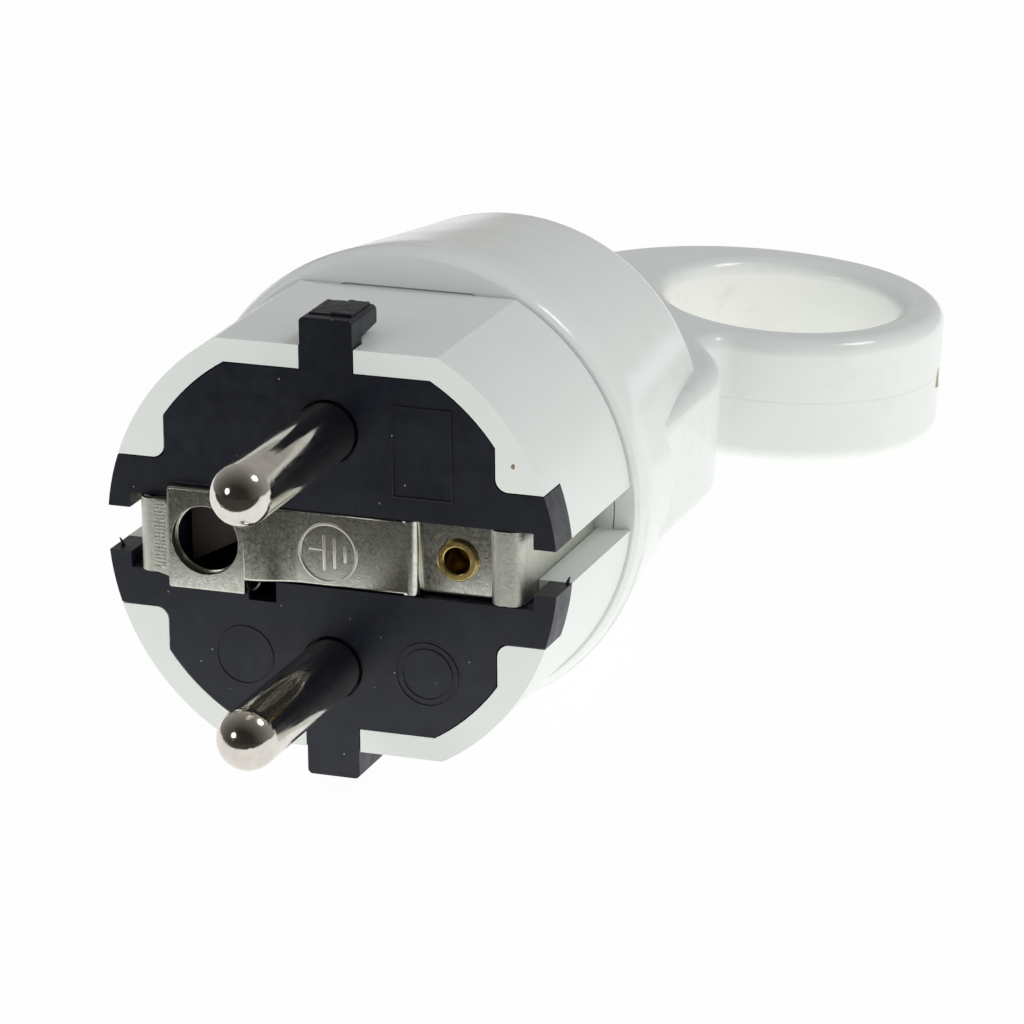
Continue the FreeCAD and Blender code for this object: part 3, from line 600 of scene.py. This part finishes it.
@dataclass(frozen=True)
class RaisedLine:
    """A pressed or moulded line that stands on a flat front and faces the socket."""

    width: float
    height: float
    sink: float = 0.05
    edge: float = 0.06
    edge_steps: int = 3
    sharper_than: float = 40.0

    def raise_flat(self, piece: Piece) -> Piece:
        """Lifts a flat outline in the XZ plane off its front and rounds its edges."""
        with editing(piece):
            pull_out(0.0, -(self.height + self.sink), 0.0)
            turn_outward()
        EdgeBreak(self.edge, self.edge_steps, self.sharper_than).apply(piece)
        smooth(piece)
        return piece

    def open_middle(self, piece: Piece) -> None:
        """Turns a filled flat outline into a line of this width along its rim."""
        with editing(piece):
            bpy.ops.mesh.inset(thickness=self.width * MM, depth=0.0, use_boundary=True)
            bpy.ops.mesh.delete(type="FACE")

    def flat(self, name: str, x: float, z: float, front: float, wide: float, high: float) -> Piece:
        """A flat rectangle just behind a front, as a start."""
        bpy.ops.mesh.primitive_plane_add(size=MM, location=(x * MM, (front + self.sink) * MM, z * MM),
                                         rotation=FACING_SOCKET)
        piece = name_new(name)
        piece.scale = (wide, high, 1.0)
        settle(piece)
        return piece

    def bar(self, name: str, x: float, z: float, front: float, wide: float, high: float) -> Piece:
        """A straight line around a middle, on a front, with its sizes along x and z."""
        return self.raise_flat(self.flat(name, x, z, front, wide, high))

    def border(self, name: str, x: float, z: float, front: float, wide: float, high: float) -> Piece:
        """A rectangular outline around a middle, with the sizes of its outer rim."""
        piece = self.flat(name, x, z, front, wide, high)
        self.open_middle(piece)
        return self.raise_flat(piece)

    def hoop(self, name: str, x: float, z: float, front: float, radius: float) -> Piece:
        """A round outline around a middle, with the radius of its outer rim."""
        bpy.ops.mesh.primitive_circle_add(vertices=ROUND_CORNERS, radius=radius * MM, fill_type="NGON",
                                          location=(x * MM, (front + self.sink) * MM, z * MM),
                                          rotation=FACING_SOCKET)
        piece = name_new(name)
        settle(piece)
        self.open_middle(piece)
        return self.raise_flat(piece)


def joined(name: str, pieces: list[Piece]) -> Piece:
    """Joins the pieces of one marking into one object."""
    only(pieces[0])
    for piece in pieces:
        piece.select_set(True)
    bpy.ops.object.join()
    return name_new(name)


class Plug:
    """What every sub-assembly shares: the finishes and the way a piece joins the model."""

    def __init__(self) -> None:
        """Makes the finishes ready."""
        self.finishes = Finishes()

    def add(self, piece: Piece, finish: Finish) -> Piece:
        """Paints a new piece, rides it on the plug's body, reports it and gives it back."""
        self.finishes.paint(piece, finish)
        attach(piece, BODY)
        LOG.info("%s: %d faces", piece.name, len(piece.data.polygons))
        return piece


@dataclass
class Housing:
    """The rear cover with its pull ring, and the front skirt."""

    plug: Plug
    cover_edge: EdgeBreak = EdgeBreak(0.18)
    skirt_edge: EdgeBreak = EdgeBreak(0.22)
    cover_turn: float = 3.9
    ring_x: float = 15.5
    ring_y: float = 65.7
    ring_radius: float = 13.9
    line_radius: float = 0.06
    line_sink: float = 0.035
    line_start_x: float = 9.0
    line_start_y: float = 49.5
    line_end_y: float = 74.0
    line_reach: float = 0.5
    line_steps: int = 2
    gate_line: RaisedLine = RaisedLine(0.13, 0.04, 0.12, 0.03)
    gate_place: Place = (29.26, 67.1, -2.0)
    gate_size: Span = (0.6, 2.2)
    speck_place: Place = (15.02, 0.0, 8.19)
    speck_radius: float = 0.16
    speck_steps: int = 3
    speck_wear: float = 0.03
    speck_seed: int = 4
    speck_shape: Place = (1.0, 0.25, 1.3)

    def build(self) -> None:
        """Dresses both white shells and adds the marks that moulding left on them."""
        cover = self.plug.add(self.cover_edge.dressed("rear_cover", "cover_shell"), COVER_WHITE)
        self.plug.add(self.skirt_edge.dressed("front_skirt", "skirt_shell"), SKIRT_WHITE)
        self.plug.add(self.parting_line(cover), COVER_WHITE)
        self.plug.add(self.gate_mark(), GATE_TAN)
        self.plug.add(self.speck(), SPECK_BROWN)

    def parting_line(self, cover: Piece) -> Piece:
        """The thin ridge where the mould's halves met on the ring's outer wall.

        Args:
            cover: The dressed cover.

        Returns:
            The ridge.
        """
        ridge = linked("ring_parting_line", cover.data.copy())
        turn = math.radians(self.cover_turn)
        middle = Vector((self.ring_x * math.cos(turn), self.ring_y, -self.ring_x * math.sin(turn)))

        def off_line(corner: bpy.types.MeshVertex) -> bool:
            """True for a corner off the ring's outer wall or past the line's ends."""
            spot = corner.co / MM
            off_wall = (spot - middle).length < self.ring_radius - self.line_reach
            return off_wall or spot.x < self.line_start_x or not self.line_start_y < spot.y < self.line_end_y

        with editing(ridge):
            bpy.ops.mesh.bisect(plane_co=(0.0, 0.0, 0.0), plane_no=(math.sin(turn), 0.0, math.cos(turn)),
                                clear_inner=True, clear_outer=True)
            pick(ridge, "VERT", off_line)
            bpy.ops.mesh.delete(type="VERT")
            bpy.ops.mesh.select_all(action="SELECT")
            share = 1.0 - self.line_sink / self.ring_radius
            bpy.ops.transform.resize(value=(share, share, 1.0), center_override=middle * MM)
        only(ridge)
        bpy.ops.object.convert(target="CURVE")
        ridge.data.bevel_depth = self.line_radius * MM
        ridge.data.bevel_resolution = self.line_steps
        bpy.ops.object.convert(target="MESH")
        with editing(ridge):
            bpy.ops.mesh.remove_doubles(threshold=MERGE_MM * MM)
            turn_outward()
        smooth(ridge)
        return ridge

    def gate_mark(self) -> Piece:
        """The small upright outline where the plastic was fed into the mould."""
        mark = self.gate_line.border("gate_mark", 0.0, 0.0, 0.0, *self.gate_size)
        place = Vector(self.gate_place)
        out = Vector((place.x - self.ring_x, place.y - self.ring_y, 0.0)).normalized()
        mark.rotation_mode = "XYZ"
        mark.rotation_euler = (0.0, math.radians(self.cover_turn), math.atan2(out.y, out.x) + math.pi / 2)
        mark.location = place * MM
        settle(mark)
        return mark

    def speck(self) -> Piece:
        """A burnt speck in the skirt's front face."""
        bpy.ops.mesh.primitive_ico_sphere_add(subdivisions=self.speck_steps, radius=self.speck_radius * MM)
        speck = name_new("skirt_speck")
        with editing(speck):
            bpy.ops.transform.vertex_random(offset=self.speck_wear * MM, seed=self.speck_seed)
            bpy.ops.transform.resize(value=self.speck_shape, center_override=(0.0, 0.0, 0.0))
        speck.location = Vector(self.speck_place) * MM
        settle(speck)
        smooth(speck)
        return speck


@dataclass
class Face:
    """The black insert, its two keys and the plain raised outlines moulded on it."""

    plug: Plug
    edge: EdgeBreak = EdgeBreak(0.14)
    key_corner: Rounding = Rounding(0.5, 5, 2.15, 18.4)
    outline: RaisedLine = RaisedLine(0.16, 0.08, 0.05, 0.04)
    left_hoop: tuple[float, ...] = (-7.24, -9.28, 0.0, 2.42)
    right_hoops: tuple[tuple[float, ...], ...] = ((7.85, -9.2, 0.0, 2.6), (7.85, -9.2, 0.0, 2.1))
    plate_outline: tuple[float, ...] = (7.7, 8.45, 0.0, 4.9, 7.3)
    pad_half_width: float = 1.75
    pad_start: float = 1.05
    pad_end: float = 4.9
    pad_sink: float = 0.05
    pad_heights: Span = (0.12, 0.22)
    pad_cuts: int = 13
    pad_roughness: float = 0.05
    pad_seed: int = 7
    pad_edge: EdgeBreak = EdgeBreak(0.05, 2, 45.0)
    flash_left: Place = (-17.8, 1.3, -1.95)
    flash_right: Place = (18.1, 3.4, -1.95)
    flash_lean: float = 0.06
    flash_curl: Span = (0.4, 0.5)
    flash_back: float = -0.04
    flash_rise: float = 0.2
    flash_steps: int = 4
    flash_taper: float = 0.72
    flash_width: float = 0.26
    flash_corners: int = 10
    flash_smooth: float = 60.0

    def build(self) -> None:
        """Dresses the insert and adds its outlines, its key pads and two curls of flash."""
        line = self.outline
        right = self.right_hoops
        pieces = [self.edge.dressed("face_insert", "insert_moulding", self.key_corner),
                  line.hoop("outline_left", *self.left_hoop),
                  joined("outline_right", [line.hoop("outline_right", *hoop) for hoop in right]),
                  line.border("outline_plate", *self.plate_outline),
                  self.flash("flash_left", Vector(self.flash_left), -self.flash_lean),
                  self.flash("flash_right", Vector(self.flash_right), self.flash_lean),
                  self.key_pad("key_pad_upper")]
        lower = linked("key_pad_lower", pieces[-1].data.copy())
        lower.rotation_euler = (0.0, math.pi, 0.0)
        settle(lower)
        for piece in (*pieces, lower):
            self.plug.add(piece, INSERT_BLACK)

    def flash(self, name: str, foot: Vector, lean: float) -> Piece:
        """A thin curl of plastic that the mould squeezed out at an arm's end.

        Args:
            name: The piece's name.
            foot: Where it stands.
            lean: How far each of its steps leans along x.

        Returns:
            The curl.
        """
        bpy.ops.mesh.primitive_circle_add(vertices=self.flash_corners, radius=self.flash_width * MM,
                                          fill_type="NGON", location=foot * MM)
        curl = name_new(name)
        settle(curl)
        top = foot.copy()
        first, more = self.flash_curl
        with editing(curl):
            for step in range(self.flash_steps):
                move = Vector((lean * (first + more * step), self.flash_back, self.flash_rise))
                top += move
                pull_out(*move)
                bpy.ops.transform.resize(value=(self.flash_taper, self.flash_taper, 1.0),
                                         center_override=top * MM)
            turn_outward()
        finish_with(curl, "SUBSURF", levels=1)
        smooth(curl, self.flash_smooth)
        return curl

    def key_pad(self, name: str) -> Piece:
        """The rough pad on the upper key's head, with its right half higher than its left half."""
        middle = Vector((0.0, (self.pad_start + self.pad_end) / 2, self.key_corner.z - self.pad_sink))
        bpy.ops.mesh.primitive_plane_add(size=MM, location=middle * MM)
        pad = name_new(name)
        pad.scale = (2 * self.pad_half_width, self.pad_end - self.pad_start, 1.0)
        settle(pad)
        low, high = self.pad_heights
        with editing(pad):
            bpy.ops.mesh.subdivide(number_cuts=self.pad_cuts)
            pull_out(0.0, 0.0, low + self.pad_sink)
            bpy.ops.transform.vertex_random(offset=self.pad_roughness * MM, seed=self.pad_seed)
        with editing(pad):
            pick(pad, "FACE", lambda face: face.normal.z > 0.5 and face.center.x > 0.0)
            pull_out(0.0, 0.0, high - low)
            turn_outward()
        self.pad_edge.apply(pad)
        smooth(pad)
        return pad


@dataclass
class LinePins:
    """The two turned line pins."""

    plug: Plug
    edge: EdgeBreak = EdgeBreak(0.08)

    def build(self) -> None:
        """Dresses both pins."""
        for which in ("upper", "lower"):
            self.plug.add(self.edge.dressed(f"line_pin_{which}", f"{which}_pin"), PIN_NICKEL)


@dataclass
class EarthContact:
    """The folded earth strap with its pressed sign, its hole's lip, its scored bend and its eyelet."""

    plug: Plug
    strap_edge: EdgeBreak = EdgeBreak(0.04, 2, clamp=False)
    strap_rim: RimRounding = RimRounding(0.22, 4)
    added_edge: EdgeBreak = EdgeBreak(0.22, 4, 60.0)
    bends: tuple[Place, ...] = (
        (-14.55, 0.3, 1.1), (6.4, 0.8, 0.8), (14.0, 0.95, 1.05), (14.6, 0.95, 1.05))
    ramp_ends: tuple[Span, ...] = ((-7.0, -0.79), (-2.4, 0.01))
    ramp_pull: float = 2.0
    ramp_depth: float = 0.5
    ramp_steps: int = 24
    eyelet_edge: EdgeBreak = EdgeBreak(0.28, 5)
    sign_line: RaisedLine = RaisedLine(0.24, 0.1, 0.05, 0.09)
    band_front: float = 0.0
    sign_x: float = -0.12
    sign_z: float = -0.21
    sign_radius: float = 2.45
    sign_stem: tuple[float, ...] = (-1.06, 0.05, 0.0, 1.3, 0.2)
    sign_bars: tuple[Span, ...] = ((-0.44, 2.9), (0.42, 2.5), (1.29, 1.4))
    sign_bar_width: float = 0.22
    hole_x: float = -10.0
    plate_front: float = -0.8
    lip_line: RaisedLine = RaisedLine(0.2, 0.06, 0.05, 0.06)
    lip_front: float = 0.15
    lip_radius: float = 2.85
    eyelet_x: float = 10.15
    eyelet_bore: float = 1.05
    eyelet_floor: float = 4.0
    eyelet_dish: tuple[Span, ...] = ((0.3, -0.35), (0.4, -0.1))
    eyelet_wall: float = 0.25
    eyelet_corners: int = 40
    eyelet_smooth: float = 50.0
    score_line: RaisedLine = RaisedLine(0.13, 0.05, 0.05, 0.04)
    score_columns: tuple[tuple[float, float, int], ...] = ((-14.0, 0.42, 153), (-13.52, 0.36, 148))
    score_pitch: float = 0.29
    score_count: int = 18
    score_wear: float = 0.035

    def build(self) -> None:
        """Dresses the strap and the eyelet and adds what the press left on the strap."""
        self.plug.add(self.strap_edge.dressed("earth_strap", "strap_metal", self.strap_rim), STRAP_NICKEL)
        self.plug.add(self.ramp(), STRAP_NICKEL)
        for i, (x, y, radius) in enumerate(self.bends):
            self.plug.add(self.bend(f"strap_bend_{i}", x, y, radius), STRAP_NICKEL)
        self.plug.add(self.eyelet_edge.dressed("earth_rivet", "rolled_eyelet"), EYELET_BRASS)
        # The tube's far end gets the darker brass: painted shade.
        self.plug.add(self.eyelet_end(), TUBE_BRASS_SHADED)
        self.plug.add(self.sign(), SIGN_NICKEL)
        lip = self.lip_line.hoop("earth_hole_lip", self.hole_x, 0.0, self.lip_front, self.lip_radius)
        self.plug.add(lip, STRAP_NICKEL)
        columns = [self.scores(*column) for column in self.score_columns]
        self.plug.add(joined("bend_scores", columns), STRAP_NICKEL)

    def bend(self, name: str, x: float, y: float, radius: float) -> Piece:
        """The round outside of one bend of the strap, a half bar along Z.

        Args:
            name: The piece's name.
            x: The x of the bend's axis.
            y: The y of the bend's axis.
            radius: The bend's outer radius.

        Returns:
            The half bar.
        """
        axis = (x * MM, y * MM, 0.0)
        bpy.ops.mesh.primitive_cylinder_add(vertices=ROUND_CORNERS, radius=radius * MM,
                                            depth=2 * self.strap_rim.band_half * MM, location=axis)
        bar = name_new(name)
        settle(bar)
        with editing(bar):
            bpy.ops.mesh.bisect(plane_co=axis, plane_no=(0.0, 1.0, 0.0), use_fill=True, clear_outer=True)
        self.added_edge.apply(bar)
        smooth(bar)
        return bar

    def ramp(self) -> Piece:
        """The gentle slope from the strap's raised plate down to its band, laid on the step."""
        bpy.ops.curve.primitive_bezier_curve_add(location=(0.0, 0.0, 0.0))
        ramp = name_new("strap_ramp")
        ramp.data.dimensions = "3D"
        ramp.data.resolution_u = self.ramp_steps
        ramp.data.extrude = self.strap_rim.band_half * MM
        for point, (x, y) in zip(ramp.data.splines[0].bezier_points, self.ramp_ends):
            point.handle_left_type = point.handle_right_type = "FREE"
            point.co = Vector((x, y, 0.0)) * MM
            point.handle_left = Vector((x - self.ramp_pull, y, 0.0)) * MM
            point.handle_right = Vector((x + self.ramp_pull, y, 0.0)) * MM
        only(ramp)
        bpy.ops.object.convert(target="MESH")
        with editing(ramp):
            pull_out(0.0, self.ramp_depth, 0.0)
            turn_outward()
        self.added_edge.apply(ramp)
        smooth(ramp)
        finish_with(ramp, "WEIGHTED_NORMAL", keep_sharp=True)
        return ramp

    def sign(self) -> Piece:
        """The earth sign, lying on its side: a hoop around a stem and three bars that grow shorter."""
        line = self.sign_line
        strokes = [line.hoop("earth_sign", self.sign_x, self.sign_z, self.band_front, self.sign_radius),
                   line.bar("sign_stem", *self.sign_stem)]
        strokes += [line.bar("sign_bar", x, self.sign_z, self.band_front, self.sign_bar_width, high)
                    for x, high in self.sign_bars]
        return joined("earth_sign", strokes)

    def scores(self, x: float, wide: float, seed: int) -> Piece:
        """A column of short ridges that the bending tool left beside the plate.

        Args:
            x: The column's middle.
            wide: The length of a ridge.
            seed: The seed of the ridges' wear.

        Returns:
            The column.
        """
        low = -self.score_pitch * (self.score_count - 1) / 2
        column = self.score_line.bar("bend_scores", x, low, self.plate_front, wide, self.score_line.width)
        finish_with(column, "ARRAY", count=self.score_count, use_relative_offset=False,
                    use_constant_offset=True, constant_offset_displace=(0.0, 0.0, self.score_pitch * MM))
        with editing(column):
            bpy.ops.transform.vertex_random(offset=self.score_wear * MM, seed=seed)
        smooth(column)
        return column

    def eyelet_end(self) -> Piece:
        """The dished far end of the eyelet's tube, in a darker copy of the eyelet's brass as painted shade.
        """
        bpy.ops.mesh.primitive_circle_add(vertices=self.eyelet_corners, radius=self.eyelet_bore * MM,
                                          fill_type="NGON", rotation=FACING_SOCKET,
                                          location=(self.eyelet_x * MM, self.eyelet_floor * MM, 0.0))
        end = name_new("eyelet_end")
        settle(end)
        with editing(end):
            for inward, deep in self.eyelet_dish:
                bpy.ops.mesh.inset(thickness=inward * MM, depth=deep * MM)
        finish_with(end, "SOLIDIFY", thickness=self.eyelet_wall * MM, offset=-1.0)
        smooth(end, self.eyelet_smooth)
        return end


@dataclass
class EarthSpring:
    """What shows of the earth pin's socket: the spring's foot in the window and the plate at the back."""

    plug: Plug
    foot_place: Place = (-6.15, 1.0, -3.4)
    foot_tilt: float = 18.4
    foot_size: Span = (0.2, 0.55)
    foot_axis: Place = (-7.35, 0.0, -3.0)
    foot_turn: float = -75.0
    foot_steps: int = 12
    foot_edge: EdgeBreak = EdgeBreak(0.05, 2, 40.0)
    back_line: RaisedLine = RaisedLine(0.0, 0.3)
    back_plate: tuple[float, ...] = (-10.1, 0.0, 2.5, 4.6, 6.4)
    # The slanted cut of the back plate is a painted edge between the lit brown face and the shade inside the
    # socket.
    shade_edge_place: Place = (-12.4, 2.5, -2.8)
    shade_edge_way: Place = (-0.46, 0.0, 0.89)

    def build(self) -> None:
        """Adds both pieces."""
        self.plug.add(self.foot(), SPRING_STEEL)
        self.plug.add(self.back(), SOCKET_BROWN)

    def foot(self) -> Piece:
        """The bent foot of the earth spring, seen in the window below the strap."""
        bpy.ops.mesh.primitive_plane_add(size=MM, location=Vector(self.foot_place) * MM,
                                         rotation=(0.0, math.radians(self.foot_tilt), 0.0))
        foot = name_new("spring_foot")
        foot.scale = (*self.foot_size, 1.0)
        settle(foot)
        with editing(foot):
            bpy.ops.mesh.spin(steps=self.foot_steps, angle=math.radians(self.foot_turn),
                              center=Vector(self.foot_axis) * MM, axis=(0.0, 1.0, 0.0))
            bpy.ops.mesh.select_all(action="SELECT")
            bpy.ops.mesh.remove_doubles(threshold=MERGE_MM * MM)
            turn_outward()
        self.foot_edge.apply(foot)
        smooth(foot)
        return foot

    def back(self) -> Piece:
        """The plate at the back of the earth pin's socket, with its lower edge cut on the slant: the brown
        plate above the cut and the black below it paint the edge of the shade inside the socket.
        """
        plate = self.back_line.flat("socket_back", *self.back_plate)
        with editing(plate):
            bpy.ops.mesh.bisect(plane_co=Vector(self.shade_edge_place) * MM, plane_no=self.shade_edge_way,
                                clear_inner=True)
        return self.back_line.raise_flat(plate)


@dataclass
class InnerFittings:
    """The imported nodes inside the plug, which keep their shape and get their finish."""

    plug: Plug

    def dress(self) -> None:
        """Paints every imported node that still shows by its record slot."""
        slots = {row["node"]: Slot(row["material_slot"]) for row in frame["record"]["subparts"]}
        for node, slot in slots.items():
            packed = frame["nodes"][node]
            if not packed.hide_render:
                self.plug.finishes.paint(packed, self.plug.finishes.by_slot[slot])
                LOG.info("%s: packed node, %s", node, slot.value)


# Studio


@dataclass(frozen=True)
class Lamp:
    """A round soft lamp, with the way to it in the camera's right, up and back axes."""

    name: str
    way: Place
    width: float
    watts: float
    mirrored: bool = True


@dataclass
class Studio:
    """A white floor, a pale world, soft lamps, a dark room in front and the camera."""

    floor_z: float = -19.42
    floor_width: float = 6000.0
    floor_grey: Colour = (0.9, 0.9, 0.9)
    floor_rough: float = 0.9
    floor_white: float = 0.97
    floor_bounce: float = 1.3
    bounce_colour: Colour = (1.0, 1.0, 0.945)
    room_radius: float = 2600.0
    room_foot: float = -200.0
    room_segments: int = 48
    room_rings: int = 24
    room_places: tuple[float, ...] = (0.0, 0.14, 0.5, 1.0)
    room_front: Colour = (0.03, 0.026, 0.023)
    room_top: Colour = (0.17, 0.162, 0.15)
    room_back: Colour = (0.42, 0.41, 0.39)
    # Painted shade: the colour of the table's end, which lies in shade, as mirrors see it.
    table_shade: Colour = (0.05, 0.046, 0.042)
    table_edge: float = -46.0
    table_rise: float = 0.02
    azimuth: float = 20.25
    elevation: float = 17.86
    roll: float = -0.53
    distance: float = 410.29
    right_of_axis: float = 13.96
    above_axis: float = 2.95
    lens: float = 188.63
    sensor: float = 36.0
    lamp_distance: float = 700.0
    lamps: tuple[Lamp, ...] = (Lamp("key_lamp", (0.60, 0.78, 0.18), 190.0, 0.8),
                               Lamp("fill_lamp", (-0.77, 0.18, 0.61), 190.0, 0.4),
                               Lamp("side_lamp", (0.88, -0.1, 0.45), 500.0, 0.6, False))
    sky: float = 0.48

    def axes(self) -> Matrix:
        """The camera's right, up and back as the rows of a matrix."""
        az, el, roll = (math.radians(v) for v in (self.azimuth, self.elevation, self.roll))
        back = Vector((math.sin(az) * math.cos(el), -math.cos(az) * math.cos(el), math.sin(el)))
        right = Vector((math.cos(az), math.sin(az), 0.0))
        up = back.cross(right)
        return Matrix((math.cos(roll) * right + math.sin(roll) * up,
                       math.cos(roll) * up - math.sin(roll) * right,
                       back))

    def build(self) -> None:
        """Sets up the floor, the world, the lamps and the camera."""
        self.lay_floor()
        self.light_world()
        self.darken_front()
        for lamp in self.lamps:
            self.hang_lamp(lamp)
        self.aim_camera()

    def background(self, tree: bpy.types.NodeTree) -> Socket:
        """A number that is 1 for rays that show the background, straight or mirrored."""
        path = tree.nodes.new("ShaderNodeLightPath")
        total = path.outputs["Is Camera Ray"]
        for ray in ("Is Glossy Ray", "Is Transmission Ray"):
            node = tree.nodes.new("ShaderNodeMath")
            node.operation = "MAXIMUM"
            tree.links.new(total, node.inputs[0])
            tree.links.new(path.outputs[ray], node.inputs[1])
            total = node.outputs["Value"]
        return total

    def lay_floor(self) -> None:
        """A white floor that keeps a faint shadow."""
        bpy.ops.mesh.primitive_plane_add(size=self.floor_width * MM, location=(0, 0, self.floor_z * MM))
        floor = name_new("floor")
        settle(floor)
        bench = Bench("floor_white")
        bench.fix(Base_Color=self.floor_grey, Roughness=self.floor_rough, Specular_IOR_Level=0.0)
        tree = bench.material.node_tree
        glow = tree.nodes.new("ShaderNodeEmission")
        mix = tree.nodes.new("ShaderNodeMixShader")
        seen = self.background(tree)
        for low, high, socket in ((1.0, self.floor_white, mix.inputs["Fac"]),
                                  (self.floor_bounce, 1.0, glow.inputs["Strength"])):
            span = tree.nodes.new("ShaderNodeMapRange")
            span.inputs["To Min"].default_value = low
            span.inputs["To Max"].default_value = high
            tree.links.new(seen, span.inputs["Value"])
            tree.links.new(span.outputs["Result"], socket)
        tint = tree.nodes.new("ShaderNodeMix")
        tint.data_type = "RGBA"
        tint.inputs["A"].default_value = (*self.bounce_colour, 1.0)
        tint.inputs["B"].default_value = (1.0, 1.0, 1.0, 1.0)
        tree.links.new(seen, tint.inputs["Factor"])
        tree.links.new(tint.outputs["Result"], glow.inputs["Color"])
        tree.links.new(bench.shader.outputs["BSDF"], mix.inputs[1])
        tree.links.new(glow.outputs["Emission"], mix.inputs[2])
        tree.links.new(mix.outputs["Shader"], tree.nodes["Material Output"].inputs["Surface"])
        floor.data.materials.append(bench.material)

    def darken_front(self) -> None:
        """A dim room that only mirrors see: a dome that is darkest in front, and a sheet of painted shade
        where the table's end lies in shade.
        """
        bpy.ops.mesh.primitive_uv_sphere_add(segments=self.room_segments, ring_count=self.room_rings,
                                             radius=self.room_radius * MM)
        dome = name_new("room_dome")
        with editing(dome):
            bpy.ops.mesh.bisect(plane_co=(0.0, 0.0, self.room_foot * MM), plane_no=(0.0, 0.0, 1.0),
                                clear_inner=True)
        # The table's end: a dark sheet of painted shade that only mirrors see.
        bpy.ops.mesh.primitive_plane_add(size=MM)
        table = name_new("table_shade")
        depth = self.room_radius + self.table_edge
        table.scale = (2 * self.room_radius, depth, 1.0)
        table.location = (0.0, (self.table_edge - depth / 2) * MM, (self.floor_z + self.table_rise) * MM)
        settle(table)
        tones = (self.room_front, self.room_front, self.room_top, self.room_back)
        self.glow_for_mirrors(dome, tuple(zip(self.room_places, tones)))
        self.glow_for_mirrors(table, ((0.0, self.table_shade), (1.0, self.table_shade)))

    def glow_for_mirrors(self, piece: Piece, stops: tuple[tuple[float, Colour], ...]) -> None:
        """Lets a stage piece glow by its place from front to back, for mirrored rays only.

        Args:
            piece: The stage piece.
            stops: Colours from the room's front, 0, to its back, 1.
        """
        bench = Bench(piece.name)
        depth = bench.part(bench.coords.outputs["Object"], "Y")
        span = bench.span(depth, -self.room_radius, self.room_radius)
        glow = bench.nodes.new("ShaderNodeEmission")
        bench.links.new(bench.ramp(span, *stops), glow.inputs["Color"])
        bench.links.new(glow.outputs["Emission"], bench.nodes["Material Output"].inputs["Surface"])
        piece.data.materials.append(bench.material)
        for ray in ("camera", "diffuse", "transmission", "volume_scatter", "shadow"):
            setattr(piece, f"visible_{ray}", False)

    def light_world(self) -> None:
        """A world that looks white and lights the plug a little less."""
        world = bpy.data.worlds.new("studio")
        bpy.context.scene.world = world
        world.use_nodes = True
        tree = world.node_tree
        strength = tree.nodes.new("ShaderNodeMapRange")
        strength.inputs["To Min"].default_value = self.sky
        strength.inputs["To Max"].default_value = 1.0
        tree.links.new(self.background(tree), strength.inputs["Value"])
        tree.nodes["Background"].inputs["Color"].default_value = (1.0, 1.0, 1.0, 1.0)
        tree.links.new(strength.outputs["Result"], tree.nodes["Background"].inputs["Strength"])

    def hang_lamp(self, lamp: Lamp) -> None:
        """Hangs a lamp that points at the plug."""
        light = bpy.data.lights.new(lamp.name, "AREA")
        light.shape = "DISK"
        light.size = lamp.width * MM
        light.energy = lamp.watts
        holder = linked(lamp.name, light)
        toward = self.axes().transposed() @ Vector(lamp.way).normalized()
        holder.location = toward * self.lamp_distance * MM
        holder.rotation_euler = toward.to_track_quat("Z", "Y").to_euler()
        holder.visible_glossy = lamp.mirrored

    def aim_camera(self) -> None:
        """The camera, fitted to the pins and the face of the plug."""
        data = bpy.data.cameras.new("camera")
        data.sensor_width = self.sensor
        data.lens = self.lens
        camera = linked("camera", data)
        turn = self.axes().transposed()
        place = turn @ Vector((self.right_of_axis, self.above_axis, self.distance)) * MM
        camera.matrix_world = Matrix.Translation(place) @ turn.to_4x4()
        bpy.context.scene.camera = camera


def main() -> None:
    """Builds the plug's sub-assemblies and the studio in order."""
    logging.basicConfig(level=logging.INFO, format="%(message)s")
    bpy.context.scene.view_settings.view_transform = "Standard"
    plug = Plug()
    Housing(plug).build()
    Face(plug).build()
    LinePins(plug).build()
    EarthContact(plug).build()
    EarthSpring(plug).build()
    InnerFittings(plug).dress()
    Studio().build()


if __name__ == "__main__":
    main()
